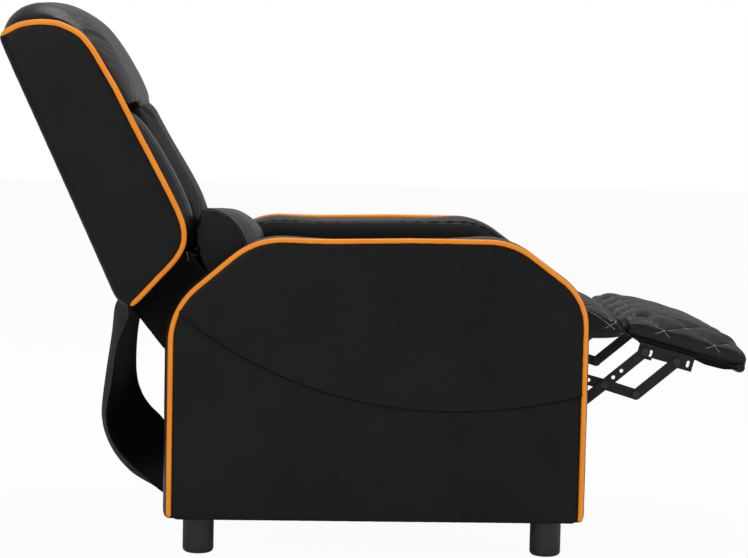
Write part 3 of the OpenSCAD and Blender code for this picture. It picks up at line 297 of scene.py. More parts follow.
def metal(name, dark, light, rough, wear, shine):
    """Powder-coated or plated steel, with its bare metal showing through the scuffs."""
    mat, tree, skin = blank(name)
    scuff = group_node(tree, SCUFFS, Amount=wear)
    blend = tree.nodes.new("ShaderNodeMix")
    blend.data_type = "RGBA"
    tree.links.new(scuff["Mask"], blend.inputs["Factor"])
    tree.links.new(tone(tree, scuff["Cloud"], dark, light), blend.inputs["A"])
    blend.inputs["B"].default_value = (0.42, 0.42, 0.43, 1)
    peel = texture(tree, "ShaderNodeTexNoise", 1300, object_place(tree), detail=2.0)
    dress(tree, skin, blend.outputs["Result"],
          remap(tree, scuff["Cloud"], 0.2, 0.8, rough - 0.06, rough + 0.1), peel.outputs["Fac"], 0.00008, 0.5)
    skin.inputs["Specular IOR Level"].default_value = shine
    return mat


def frame_wood_finish():
    mat, tree, skin = blank("frame_plywood")
    turned = tree.nodes.new("ShaderNodeMapping")
    turned.inputs["Scale"].default_value = (3, 3, 42)
    tree.links.new(object_place(tree), turned.inputs["Vector"])
    rings = texture(tree, "ShaderNodeTexNoise", 6, turned.outputs[0], detail=6.0, distortion=0.8)
    fibre = texture(tree, "ShaderNodeTexNoise", 300, turned.outputs[0], detail=2.0)
    dress(tree, skin, tone(tree, rings.outputs["Fac"], (0.44, 0.29, 0.15), (0.68, 0.5, 0.31)), 0.72,
          fibre.outputs["Fac"], 0.0002, 0.5)
    return mat


def woven_finish():
    mat, tree, skin = blank("woven_belt")
    warp, weft = (texture(tree, "ShaderNodeTexWave", 160, object_place(tree), bands_direction=way)
                  for way in "XY")
    weave = maths(tree, "MULTIPLY", warp.outputs["Fac"], weft.outputs["Fac"])
    dress(tree, skin, tone(tree, weave, (0.03, 0.03, 0.034), (0.09, 0.09, 0.1)), 0.85, weave, 0.0005, 0.8)
    return mat


def moulded_finish():
    mat, tree, skin = blank("moulded_plastic")
    scuff = group_node(tree, SCUFFS, Amount=0.15)
    spark = texture(tree, "ShaderNodeTexNoise", 1800, object_place(tree), detail=2.0)
    dress(tree, skin, tone(tree, scuff["Cloud"], (0.008, 0.008, 0.009), (0.013, 0.013, 0.014)),
          remap(tree, scuff["Mask"], 0.0, 0.3, 0.38, 0.6), spark.outputs["Fac"], 0.0001, 0.4)
    return mat


def thread_finish():
    mat, tree, skin = blank("contrast_thread")
    twist = texture(tree, "ShaderNodeTexNoise", 2600, object_place(tree), detail=2.0)
    dress(tree, skin, tone(tree, twist.outputs["Fac"], (0.62, 0.54, 0.44), (0.86, 0.8, 0.7)), 0.7,
          twist.outputs["Fac"], 0.0002, 0.6)
    return mat


# The same black leather as PAD_LEATHER, with its base colour painted darker: painted shade on the arms' and
# wings' side panels, the back shell, the middle pad and the footrest welt. PAD_LEATHER is the lighter copy.
SHADED_SIDE_LEATHER = leather("side_leather_painted_shade", (0.0045, 0.005, 0.0053), (0.007, 0.0075, 0.0078), 0.5,
                       shine=0.16)
PAD_LEATHER = leather("pad_leather", (0.006, 0.0064, 0.0067), (0.009, 0.0095, 0.0098), 0.4, crease=0.7,
                      shine=0.24)
PIPING_LEATHER = leather("orange_piping_leather", (0.93, 0.265, 0.012), (1.0, 0.32, 0.02), 0.42, 900,
                         0.2, 0.0001, 0.2)
# Near-black cloth: the real lining under the footrest board and the pillow's seam cords. On the rear flap and
# the lower box between the arms it stands in for their leather as painted shade.
BLACK_LINING_AND_SHADE = leather("black_lining_and_painted_shade", (0.0022, 0.0022, 0.0024), (0.004, 0.004, 0.0042), 0.7, 500, 0.3,
                      shine=0.12)
BLACK_STEEL = metal("black_powder_coat", (0.012, 0.012, 0.0123), (0.017, 0.017, 0.0174), 0.42, 0.08, 0.2)
ZINC_STEEL = metal("dark_rivet_steel", (0.02, 0.02, 0.021), (0.032, 0.032, 0.033), 0.4, 0.1, 0.3)
FRAME_WOOD = frame_wood_finish()
WOVEN_BELT = woven_finish()
FOOT_PLASTIC = moulded_finish()
THREAD = thread_finish()


# Outlines.
STEP = 3.0


def corner_sides(points):
    """The outward normals of the sides before and after each corner, walked counter-clockwise."""
    way = np.roll(points, -1, 0) - points
    way /= np.linalg.norm(way, axis=1)[:, None]
    after = np.stack([way[:, 1], -way[:, 0]], axis=1)
    return np.roll(after, 1, 0), after


def grown(corners, by):
    points = np.array(corners, float)
    a, b = corner_sides(points)
    return points + (a + b) / (1 + (a * b).sum(1))[:, None] * by


def rounded(corners, radii):
    """Even points round a corner list with its radii."""
    line = []
    for middle, a, b, radius in zip(grown(corners, -np.array(radii, float)[:, None]),
                                    *corner_sides(np.array(corners, float)), radii):
        begin = math.atan2(a[1], a[0])
        turn = (math.atan2(b[1], b[0]) - begin) % (2 * math.pi)
        for k in range(13):
            ang = begin + turn * k / 12
            line.append(middle + radius * np.array([math.cos(ang), math.sin(ang)]))
    return even_points(np.array(line + [line[0]]), STEP, closed=True)


def run_along(line):
    """How far along a line each of its points lies."""
    return np.concatenate([[0], np.cumsum(np.linalg.norm(np.diff(line, axis=0), axis=1))])


def counted_points(line, count, closed=False):
    run = run_along(line)
    at = np.linspace(0, run[-1], count + 1)[:-1 if closed else None]
    return np.stack([np.interp(at, run, line[:, k]) for k in range(line.shape[1])], axis=1)


def even_points(line, step, closed=False):
    return counted_points(line, max(int(round(run_along(line)[-1] / step)), 4), closed)


def outward(line, closed=True):
    if closed:
        way = np.roll(line, -1, 0) - np.roll(line, 1, 0)
    else:
        way = np.gradient(line, axis=0)
    way /= np.linalg.norm(way, axis=1)[:, None] + 1e-9
    return np.stack([way[:, 1], -way[:, 0]], axis=1)


def softened(points, rounds):
    p = np.array(points, float)
    for _ in range(rounds):
        q = np.roll(p, -1, 0)
        p = np.stack([p * 0.75 + q * 0.25, p * 0.25 + q * 0.75], axis=1).reshape(-1, p.shape[1])
    return p


def on_chair(x, y, z):
    x, y, z = np.broadcast_arrays(x, y, z)
    return np.stack([x * MM + SHIFT, y * MM, z * MM], -1)


def on_back(f, y, u):
    c, s = math.cos(BACK_LEAN), math.sin(BACK_LEAN)
    f, u = np.asarray(f, float), np.asarray(u, float)
    return on_chair(HINGE[0] + f * c - u * s, y, HINGE[1] + f * s + u * c)


def on_rest(x, y, h):
    c, s = math.cos(REST_LEAN), math.sin(REST_LEAN)
    x, h = np.asarray(x, float), np.asarray(h, float)
    return on_chair(TOE[0] + x * c + h * s, y, TOE[1] - x * s + h * c)


def waves(a, b, size, seed):
    """Smooth seeded noise between -1 and 1 over two coordinates, by crossing waves of about that size."""
    rng = np.random.default_rng(seed)
    total = 0
    for _ in range(7):
        turn, shift = rng.uniform(0, 2 * math.pi, 2)
        length = size * rng.uniform(0.7, 1.6)
        total = total + np.sin((a * math.cos(turn) + b * math.sin(turn)) * 2 * math.pi / length + shift)
    return total / 3.6


# Mesh making.
def deselect():
    if bpy.context.object and bpy.context.object.mode != "OBJECT":
        bpy.ops.object.mode_set(mode="OBJECT")
    bpy.ops.object.select_all(action="DESELECT")


def pick(piece):
    deselect()
    piece.select_set(True)
    bpy.context.view_layer.objects.active = piece


def coords(piece):
    flat = np.empty(len(piece.data.vertices) * 3)
    piece.data.vertices.foreach_get("co", flat)
    return flat.reshape(-1, 3)


def set_coords(piece, points):
    piece.data.vertices.foreach_set("co", np.ascontiguousarray(points).ravel())
    piece.data.update()


def cloth_grid(name, columns, rows, place):
    """A grid primitive laid over a surface: place(i, j) takes column and row numbers and gives points."""
    deselect()
    bpy.ops.mesh.primitive_grid_add(x_subdivisions=columns, y_subdivisions=rows, size=2)
    piece = bpy.context.object
    piece.name = piece.data.name = name
    at = coords(piece)
    i = np.rint((at[:, 0] + 1) / 2 * columns).astype(int)
    j = np.rint((at[:, 1] + 1) / 2 * rows).astype(int)
    set_coords(piece, place(i, j))
    return piece


def edit(piece, *steps):
    pick(piece)
    bpy.ops.object.mode_set(mode="EDIT")
    bpy.ops.mesh.select_all(action="SELECT")
    for step in steps:
        step()
    bpy.ops.object.mode_set(mode="OBJECT")


def merged():
    bpy.ops.mesh.remove_doubles(threshold=0.00003)


def faced():
    bpy.ops.mesh.normals_make_consistent(inside=False)


def apply_modifier(piece, kind, **settings):
    pick(piece)
    modifier = piece.modifiers.new(kind.lower(), kind)
    for key, value in settings.items():
        setattr(modifier, key, value)
    bpy.ops.object.modifier_apply(modifier=modifier.name)


def smooth(piece, angle=None):
    pick(piece)
    if angle is None:
        bpy.ops.object.shade_smooth()
    else:
        bpy.ops.object.shade_smooth_by_angle(angle=math.radians(angle))


def finish(piece, body, slot, mat, *nodes):
    piece.data.materials.clear()
    piece.data.materials.append(mat)
    if body:
        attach(piece, body)
    if nodes:
        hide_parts(*nodes)
    return piece


def mirrored(piece, name):
    """A copy of a right-hand piece for the left side, with its own mesh."""
    copy = piece.copy()
    copy.data = piece.data.copy()
    for key in list(copy.keys()):
        del copy[key]
    copy.name = copy.data.name = name
    bpy.context.scene.collection.objects.link(copy)
    set_coords(copy, coords(copy) * [1, -1, 1])
    edit(copy, bpy.ops.mesh.flip_normals)
    return copy


def both_sides(body, made):
    """Finishes right-hand pieces and their mirrored copies; nodes are named without their side."""
    for piece, slot, mat, *nodes in made:
        other = mirrored(piece, piece.name.replace("_right", "_left"))
        finish(piece, body, slot, mat, *[node + "_right" for node in nodes])
        finish(other, body, slot, mat, *[node + "_left" for node in nodes])


def face_out(piece, way):
    """Turns an open sheet so that its normals look along way on average."""
    total = Vector((0, 0, 0))
    for poly in piece.data.polygons:
        total += poly.normal * poly.area
    if total.dot(Vector(way)) < 0:
        edit(piece, bpy.ops.mesh.flip_normals)


def shelled(piece, thick):
    apply_modifier(piece, "SOLIDIFY", thickness=thick * MM, offset=-1.0)
    smooth(piece)
    return piece


def near_line(points, line):
    """Distance of each point to a dense line, and the run along the line of the nearest one."""
    best = np.full(len(points), 1e9)
    index = np.zeros(len(points), int)
    for start in range(0, len(line), 200):
        part = line[start:start + 200]
        gap = np.linalg.norm(points[:, None, :] - part[None, :, :], axis=2)
        k = gap.argmin(axis=1)
        least = gap[np.arange(len(points)), k]
        closer = least < best
        best[closer] = least[closer]
        index[closer] = (start + k)[closer]
    return best, index


def span_of(line, x):
    """Lowest and highest crossing of a closed line with the vertical at each x."""
    a, b = line, np.roll(line, -1, 0)
    low, high = np.empty(len(x)), np.empty(len(x))
    for k, value in enumerate(x):
        hit = (a[:, 0] <= value) != (b[:, 0] <= value)
        s, e = a[hit], b[hit]
        z = s[:, 1] + (value - s[:, 0]) / (e[:, 0] - s[:, 0]) * (e[:, 1] - s[:, 1])
        low[k], high[k] = z.min(), z.max()
    return low, high


def side_panel(name, place, line, reach, size, depth, thick, way=-1, low_cut=None, high_cut=None,
               swap=False):
    """A leather panel inside a closed line, looking outwards, or inwards with way=1. Columns run along the
    line's first axis, or its second with swap; depth gives how far its face stands out at each point."""
    columns, rows = size
    first = line[:, ::-1] if swap else line
    ends = first[:, 0].min() + 0.02, first[:, 0].max() - 0.02
    share = (1 - np.cos(np.linspace(0, math.pi, columns + 1))) / 2
    x = ends[0] + (ends[1] - ends[0]) * share
    low, high = span_of(first, x)
    if low_cut is not None:
        low = np.maximum(low, low_cut(x))
    if high_cut is not None:
        high = np.minimum(high, high_cut(x))
    high = np.maximum(high, low + 0.02)
    row_share = (1 - np.cos(np.linspace(0, math.pi, rows + 1))) / 2 * 0.5 + np.linspace(0, 1, rows + 1) * 0.5
    def surface(i, j):
        a, b = x[i], low[i] + (high[i] - low[i]) * row_share[j]
        spot = np.stack([b, a], 1) if swap else np.stack([a, b], 1)
        out = reach + depth(spot[:, 0], spot[:, 1], *near_line(spot, line))
        return place(spot[:, 0], -out, spot[:, 1])
    piece = cloth_grid(name, columns, rows, surface)
    face_out(piece, (0, way, 0))
    return shelled(piece, thick)


def swept_band(name, place, line, inset, swell, edges, count, pucker, thick, floor=None):
    """A leather band swept round a closed line. It stands off the line by its swell less the inset, most
    in its middle; edges are its two distances from the chair's middle plane."""
    normal = outward(line)
    swell = np.broadcast_to(swell, len(line))
    rows = np.array([(full(2 * s - 1, 2.4), edges[0] - (edges[0] - edges[1]) * s)
                     for s in np.linspace(0, 1, count)])
    def surface(i, j):
        k = i % len(line)
        out = swell[k] * rows[j, 0] - inset + pucker(k, rows[j, 1])
        spot = line[k] + normal[k] * out[:, None]
        z = spot[:, 1] if floor is None else np.maximum(spot[:, 1], floor)
        return place(spot[:, 0], -rows[j, 1], z)
    piece = cloth_grid(name, len(line), count - 1, surface)
    edit(piece, merged, faced)
    return shelled(piece, thick)


def tube(name, place, path, reach, radius, sides=14, taper=0):
    """Piping along an open line in the plane of a side, with ends rounded or drawn out over taper."""
    normal = outward(path, closed=False)
    run = run_along(path)
    left = np.minimum(run, run[-1] - run)
    cap = np.sqrt(np.clip(1 - (1 - np.clip(left / max(radius, taper), 0, 1)) ** 2, 0.0, 1))
    def surface(i, j):
        ang = 2 * math.pi * j / sides
        r = radius * cap[i]
        spot = path[i] + normal[i] * (r * np.cos(ang))[:, None]
        return place(spot[:, 0], -(reach + r * np.sin(ang)), spot[:, 1])
    piece = cloth_grid(name, len(path) - 1, sides, surface)
    edit(piece, merged, faced)
    smooth(piece)
    return piece


def lofted(name, rings):
    """A closed body from rings of points, each end gathered to its middle."""
    rings = np.array(rings)
    first, last = rings[0].mean(axis=0), rings[-1].mean(axis=0)
    rings = np.concatenate([np.broadcast_to(first, (1,) + rings[0].shape), rings,
                            np.broadcast_to(last, (1,) + rings[0].shape)])
    m, n = rings.shape[:2]
    piece = cloth_grid(name, m - 1, n, lambda i, j: rings[i, j % n])
    edit(piece, merged, faced)
    return piece


CLOTH_FRAMES = 20
CLOTH_SETTINGS = {"use_pressure": True, "uniform_pressure_force": 4.0, "quality": 4, "mass": 0.4,
                  "tension_stiffness": 20, "compression_stiffness": 20, "bending_stiffness": 1.5,
                  "vertex_group_mass": "held"}


def plumped(piece, voxel, most, held):
    """Blows a cover up as cloth over its filling, with the points named by held kept, and caps the motion."""
    apply_modifier(piece, "REMESH", mode="VOXEL", voxel_size=voxel * MM, use_smooth_shade=True)
    start = coords(piece)
    still = piece.vertex_groups.new(name="held")
    still.add(np.nonzero(held(start))[0].tolist(), 1.0, "REPLACE")
    pick(piece)
    cloth = piece.modifiers.new("filling", "CLOTH")
    for key, value in CLOTH_SETTINGS.items():
        setattr(cloth.settings, key, value)
    cloth.settings.effector_weights.gravity = 0
    cloth.collision_settings.use_collision = False
    cloth.point_cache.frame_start, cloth.point_cache.frame_end = 1, CLOTH_FRAMES
    scene = bpy.context.scene
    for number in range(1, CLOTH_FRAMES + 1):
        scene.frame_set(number)
    bpy.ops.object.modifier_apply(modifier=cloth.name)
    scene.frame_set(1)
    moved = coords(piece) - start
    length = np.linalg.norm(moved, axis=1)
    moved *= np.minimum(1, most * MM / np.maximum(length, 1e-9))[:, None]
    set_coords(piece, start + moved)
    piece.vertex_groups.clear()
    apply_modifier(piece, "SMOOTH", factor=0.5, iterations=3)
    apply_modifier(piece, "SUBSURF", levels=1, render_levels=1)
    smooth(piece)


def normals_of(piece):
    flat = np.empty(len(piece.data.vertices) * 3)
    piece.data.vertices.foreach_get("normal", flat)
    return flat.reshape(-1, 3)


# One stitch is modelled once: a short thread with pointed, sunken ends.
def stitch_shape():
    deselect()
    bpy.ops.mesh.primitive_cylinder_add(vertices=6, radius=1, depth=2)
    piece = bpy.context.object
    apply_modifier(piece, "SUBSURF", levels=1, render_levels=1, subdivision_type="SIMPLE")
    at = coords(piece)
    thin = 1 - 0.75 * np.abs(at[:, 2]) ** 3
    at[:, :2] *= thin[:, None]
    at[:, 0] -= 0.9 * np.abs(at[:, 2]) ** 2
    set_coords(piece, at)
    edit(piece, merged, bpy.ops.mesh.quads_convert_to_tris)
    mesh = piece.data
    verts = coords(piece)
    faces = np.array([tuple(p.vertices) for p in mesh.polygons])
    bpy.data.objects.remove(piece, do_unlink=True)
    return verts, faces


STITCH = stitch_shape()
STITCH_PITCH, STITCH_LONG, STITCH_RADIUS, STITCH_LIFT = 4.4 * MM, 3.3 * MM, 0.55 * MM, 0.3 * MM


def sewn(name, body, slot, runs):
    """Contrast stitches along runs of (point, normal) lists on a surface."""
    verts, faces = STITCH
    all_verts, all_faces = [], []
    for points, normals in runs:
        run = run_along(points)
        for k in range(int(run[-1] / STITCH_PITCH)):
            at = (k + 0.5) * STITCH_PITCH
            ends = [np.array([np.interp(at + s * STITCH_LONG / 2, run, points[:, c]) for c in range(3)])
                    for s in (-1, 1)]
            out = np.array([np.interp(at, run, normals[:, c]) for c in range(3)])
            along = ends[1] - ends[0]
            length = np.linalg.norm(along)
            if length < 1e-6:
                continue
            along /= length
            out -= along * (out @ along)
            out /= np.linalg.norm(out)
            side = np.cross(along, out)
            base = (ends[0] + ends[1]) / 2 + out * STITCH_LIFT
            local = (verts[:, 0:1] * STITCH_RADIUS * out + verts[:, 1:2] * STITCH_RADIUS * side
                     + verts[:, 2:3] * STITCH_LONG / 2 * along)
            all_faces.append(faces + len(all_verts) * len(verts))
            all_verts.append(base + local)
    deselect()
    bpy.ops.mesh.primitive_plane_add(size=0.001)
    piece = bpy.context.object
    piece.name = name
    mesh = bpy.data.meshes.new(name)
    mesh.from_pydata(np.concatenate(all_verts).tolist(), [], np.concatenate(all_faces).tolist())
    old, piece.data = piece.data, mesh
    bpy.data.meshes.remove(old)
    edit(piece, faced)
    smooth(piece)
    return finish(piece, body, slot, THREAD)


def draped_line(tree, points, way):
    """Points cast on a surface along way, with their normals; runs are cut where the cast misses."""
    runs = [[]]
    for point in points:
        hit, normal, _, _ = tree.ray_cast(Vector(point), Vector(way))
        if hit is None:
            runs.append([])
        else:
            normal = -normal if normal.dot(Vector(way)) > 0 else normal
            runs[-1].append((tuple(hit), tuple(normal)))
    return [tuple(np.array(part) for part in zip(*run)) for run in runs if len(run) > 3]


def surface_tree(piece):
    mesh = piece.data
    return BVHTree.FromPolygons([v.co for v in mesh.vertices], [tuple(p.vertices) for p in mesh.polygons])


# Arms.
ARM_BOTTOM = 71.0
PIPE_RADIUS = 4.8
SEAM_INSET = 4.8
ARM_CORNERS = [(0, 66.2), (765, 66.2), (765, 490), (626, 593), (154, 593), (0, 460)]
ARM_RADII = [16.8, 16.8, 109, 136, 148, 131]
ARM_DROOP = [(100, 0), (150, 0.9), (180, 1.8), (210, 2.7), (250, 3.5), (290, 3.8), (360, 2.1), (440, 0)]
ARM_BAND_EDGES, WING_BAND_EDGES = (371.2, 272.0), (345.8, 306.5)
# The pleat's lowest point (x, z), and the radii of its arcs behind and ahead of it.
PLEAT = (510.0, 278.0, 800.0, 1016.0)


def arm_line(by):
    """The arm's outline, grown by so much, with the worn droop of its top towards the rear."""
    line = rounded(grown(ARM_CORNERS, by), [max(r + by, 0.5) for r in ARM_RADII])
    droop = np.interp(line[:, 0], *np.array(ARM_DROOP).T)
    line[:, 1] -= np.where(line[:, 1] > 500, droop, 0)
    return line


def pleat_height(x):
    x = np.asarray(x, float)
    low_x, low_z, rear, front = PLEAT
    behind = low_z + rear - np.sqrt(np.maximum(rear ** 2 - (x - low_x) ** 2, 0))
    ahead = low_z + front - np.sqrt(np.maximum(front ** 2 - (x - low_x) ** 2, 0))
    return np.where(x < low_x, behind, ahead)


def pleat_gap(x, z):
    """Distance above the pleat, negative below it."""
    low_x, low_z, rear, front = PLEAT
    behind = rear - np.hypot(x - low_x, z - low_z - rear)
    ahead = front - np.hypot(x - low_x, z - low_z - front)
    return np.where(x < low_x, behind, ahead)


def edge_tuck(gap, run, size, deep=3.2):
    """How far a face sinks towards its seam, with small puckers where the thread pulls."""
    pull = 0.35 * np.exp(-gap / 9) * np.sin(run * 3.0 / size + 1.5 * np.sin(run * 0.11))
    return -deep * np.exp(-gap / 3.2) + pull


def arm_upper_face(x, z, gap, run):
    above = pleat_gap(x, z)
    wide = 4.0 + 9.0 * np.exp(-x / 26)
    lip = 3.6 * np.clip((wide + 1.4 - above) / 2.8, 0, 1) - 7.5 * np.exp(-(np.maximum(above, 0) / 1.5) ** 2)
    folds = 0.5 * np.exp(-above / 26) * np.sin(x / 11 + 2.2 * np.sin(x / 37))
    return edge_tuck(gap, run, 4.2) + lip + folds + 0.35 * waves(x, z, 240, 3) + 0.14 * waves(x, z, 60, 4)


def arm_lower_face(x, z, gap, run):
    under = -pleat_gap(x, z)
    dip = -1.6 * np.exp(-np.maximum(under, 0) / 7)
    folds = 0.55 * np.exp(-np.abs(under) / 30) * np.sin(x / 13 + 1.7 * np.sin(x / 41 + 1))
    return edge_tuck(gap, run, 4.4) + dip + folds + 0.35 * waves(x, z, 260, 5) + 0.12 * waves(x, z, 70, 6)


def full(t, power):
    return np.maximum(1 - np.abs(t) ** power, 0) ** (1 / power)


def edge_gap(y, edges):
    return np.minimum(np.abs(y - edges[0]), np.abs(y - edges[1]))


def build_arm():
    inner = arm_line(-SEAM_INSET + 1.2)
    upper = side_panel("arm_upper_cover_right", on_chair, inner, 380.0, (210, 64), arm_upper_face, 2.2,
                       low_cut=lambda x: pleat_height(x) - 0.5)
    lower = side_panel("arm_lower_cover_right", on_chair, inner, 376.0, (210, 70), arm_lower_face, 2.2,
                       high_cut=lambda x: pleat_height(x) + 7)
    inside = side_panel("arm_inner_cover_right", on_chair, inner, 262.0, (120, 60),
                        lambda x, z, gap, run: 11.0 * np.exp(-(gap / 10) ** 1.5), 2.0, way=1)
    seam = arm_line(0)
    high, middle = (np.clip(part, 0, 1) for part in
                    ((seam[:, 1] - 430) / 129, (190 - np.abs(seam[:, 0] - 395)) / 110))
    fuller = 2.5 * np.clip((seam[:, 0] - 500) / 70, 0, 1)
    swell = (17 - (8.5 - fuller) * high ** 2 * (3 - 2 * high)
             - 4.4 * middle ** 2 * (3 - 2 * middle) * (high == 1))
    def pucker(k, y):
        near = edge_gap(y, ARM_BAND_EDGES)
        phase = k * STEP
        return (0.6 * np.exp(-near / 8) * np.sin(phase / 4.6 + 1.8 * np.sin(phase / 31))
                + 0.35 * waves(phase, y, 120, 8))
    band = swept_band("arm_band_cover_right", on_chair, seam, SEAM_INSET, swell, ARM_BAND_EDGES, 27,
                      pucker, 2.2, ARM_BOTTOM)
    start = int(np.argmin(np.linalg.norm(seam - [762.2, 73.5], axis=1)))
    stop = int(np.argmin(np.linalg.norm(seam - [2.8, 73.5], axis=1)))
    path = seam[start:stop + 1] if start < stop else np.concatenate([seam[start:], seam[:stop + 1]])
    piping = tube("arm_piping_cord_right", on_chair, path, 375.5, PIPE_RADIUS)
    both_sides("base", [(upper, "pad_leather", SHADED_SIDE_LEATHER, "arm_upper_panel"),
                        (lower, "panel_leather", SHADED_SIDE_LEATHER, "arm_lower_panel"),
                        (inside, "panel_leather", SHADED_SIDE_LEATHER, "arm_inner_panel"),
                        (band, "pad_leather", PAD_LEATHER, "arm_band"),
                        (piping, "piping", PIPING_LEATHER, "arm_piping")])


build_arm()

# Back.
WING_SEAM = [(8, 766), (20, 767), (38, 768), (55, 764), (73, 758), (87, 751), (104, 741), (116, 728),
             (127, 714), (133, 705), (140, 678), (142, 659), (148, 591), (150, 514), (153, 439), (155, 380),
             (155.5, 345), (154, 318), (149, 298), (138.5, 279), (119, 264), (97, 254), (70, 244), (28, 227),
             (2, 218)]


def resampled(points, closed=False):
    """A smooth even line through measured points."""
    p = np.array(points, float)
    if closed:
        p = np.concatenate([p, p[:1]])
    fine = even_points(p, STEP, closed)
    for _ in range(10):
        if closed:
            fine = (np.roll(fine, 1, 0) + 2 * fine + np.roll(fine, -1, 0)) / 4
        else:
            fine[1:-1] = (fine[:-2] + 2 * fine[1:-1] + fine[2:]) / 4
    return fine


WING_PIPE = resampled(WING_SEAM[::-1] + [(1.5, 763.5)])
WING_OUTLINE = resampled([(-14, 244), (-8, 229)] + WING_SEAM[::-1]
                         + [(0, 765), (-1, 757), (-3, 700), (-5, 600), (-9, 430), (-13, 280)], closed=True)


def wing_face(f, u, gap, run):
    return edge_tuck(gap, run, 4.3, 2.8) + 0.4 * waves(f, u, 230, 12) + 0.12 * waves(f, u, 55, 13)


def build_wing():
    inner = WING_OUTLINE - outward(WING_OUTLINE) * 3.4
    outside = side_panel("wing_outer_cover_right", on_back, inner, 350.0, (190, 56), wing_face, 2.2,
                         swap=True)
    inside = side_panel("wing_inner_cover_right", on_back, inner, 304.6, (110, 40),
                        lambda f, u, gap, run: 2.0 * np.exp(-gap / 3.0), 1.6, way=1, swap=True)
    def pucker(k, y):
        near, phase = edge_gap(y, WING_BAND_EDGES), k * STEP
        return 0.5 * np.exp(-near / 7) * np.sin(phase / 4.9 + 1.6 * np.sin(phase / 29))
    band = swept_band("wing_band_cover_right", on_back, WING_OUTLINE, 4.4, 8.5, WING_BAND_EDGES, 15,
                      pucker, 1.8)
    piping = tube("wing_piping_cord_right", on_back, WING_PIPE, 345.5, PIPE_RADIUS + 0.5, taper=18)
    both_sides("back", [(outside, "pad_leather", SHADED_SIDE_LEATHER, "wing_panel"),
                        (inside, "pad_leather", SHADED_SIDE_LEATHER),
                        (band, "pad_leather", PAD_LEATHER, "wing"),
                        (piping, "piping", PIPING_LEATHER, "wing_piping")])


build_wing()


def slices(reach, count):
    """Places from one end to the other, closer together at the ends."""
    t = np.sin(np.linspace(-math.pi / 2, math.pi / 2, count))
    return t * (1 - 1e-3), t * reach


def ring_of(points, count, rounds):
    line = softened(points, rounds)
    return counted_points(np.concatenate([line, line[:1]]), count, closed=True)


HEAD_SEAM = [(-5, 742), (-3, 757), (5, 763), (20, 765), (45, 764), (68, 757), (86, 749), (101, 740),
             (114, 727), (128, 711), (139, 678), (145, 624), (149, 572), (149, 556)]
HEAD_FACE = [(-8, 745), (-7, 766), (3, 779), (20, 794), (46, 801), (73, 800), (92, 794), (113, 781),
             (128, 763), (146, 730), (160, 678), (166, 624), (169, 573), (169, 556)]
HEAD_CORE = np.array([60.0, 690.0])
HEAD_REST = [(107, 555), (107, 640), (107, 700), (60, 702), (-8, 702)]


def build_head():
    """The head cushion swells from the wings' seam over 76 mm and is crowned in the middle."""
    seam, face = np.array(HEAD_SEAM, float), np.array(HEAD_FACE, float)
    rings = []
    for t, y in zip(*slices(303.2, 43)):
        rise = math.sqrt(1 - max(1 - (303.2 - abs(y)) / 76, 0) ** 2)
        line = seam + (face - seam) * rise
        away = line - HEAD_CORE
        away /= np.linalg.norm(away, axis=1)[:, None]
        crown = 10 - 3.5 * np.clip((700 - line[:, 1:]) / 90, 0, 1)
        line += away * crown * max(1 - (y / 285) ** 2, 0) ** 1.6
        tuck = min(max((172 - abs(y)) / 30, 0), 1)
        chin = line[-1] + [[0.5, 0], [-1, -7], [-12, -15]] * np.array([1, tuck])
        rest = np.array(HEAD_REST, float)
        rest[0, 1] = chin[-1, 1]
        ring = ring_of(np.concatenate([line, chin, rest]), 126, 2)
        rings.append(on_back(ring[:, 0], y, ring[:, 1]))
    piece = lofted("head_cushion_cover", rings)
    def held(at):
        local = back_local(at)
        return ((local[:, 0] < 112) & (local[:, 1] < 706) | (local[:, 1] < 562)
                | (np.abs(local[:, 2]) > 300))
    plumped(piece, 5.5, 5, held)
    return finish(piece, "back", "pad_leather", PAD_LEATHER, "head_cushion")


def back_local(at):
    """Row points as (forward, up, sideways) of the leaned back, in millimetres."""
    c, s = math.cos(BACK_LEAN), math.sin(BACK_LEAN)
    x, z = (at[:, 0] - SHIFT) / MM - HINGE[0], at[:, 2] / MM - HINGE[1]
    return np.stack([x * c + z * s, z * c - x * s, at[:, 1] / MM], axis=1)


def rest_local(at):
    c, s = math.cos(REST_LEAN), math.sin(REST_LEAN)
    x, z = (at[:, 0] - SHIFT) / MM - TOE[0], at[:, 2] / MM - TOE[1]
    return np.stack([x * c - z * s, at[:, 1] / MM, x * s + z * c], axis=1)


MIDDLE_CREST = [(254, 146), (257, 167), (268, 178), (290, 184), (315, 185), (338, 186), (386, 184),
                (460, 177), (510, 174), (538, 173), (552, 171), (562, 167), (568, 157)]
BOLSTER_CREST = [(265, 118), (272, 132), (290, 153), (305, 166), (318, 172), (357, 176), (400, 175.5),
                 (445, 172), (475, 169), (505, 164), (525, 158), (540, 150), (553, 140)]
LOWER_CREST = [(97.5, 115), (101, 128), (110, 138), (125, 142.5), (200, 143), (245, 142.5), (254, 138),
               (257.5, 125)]
PAD_REAR = 106.0


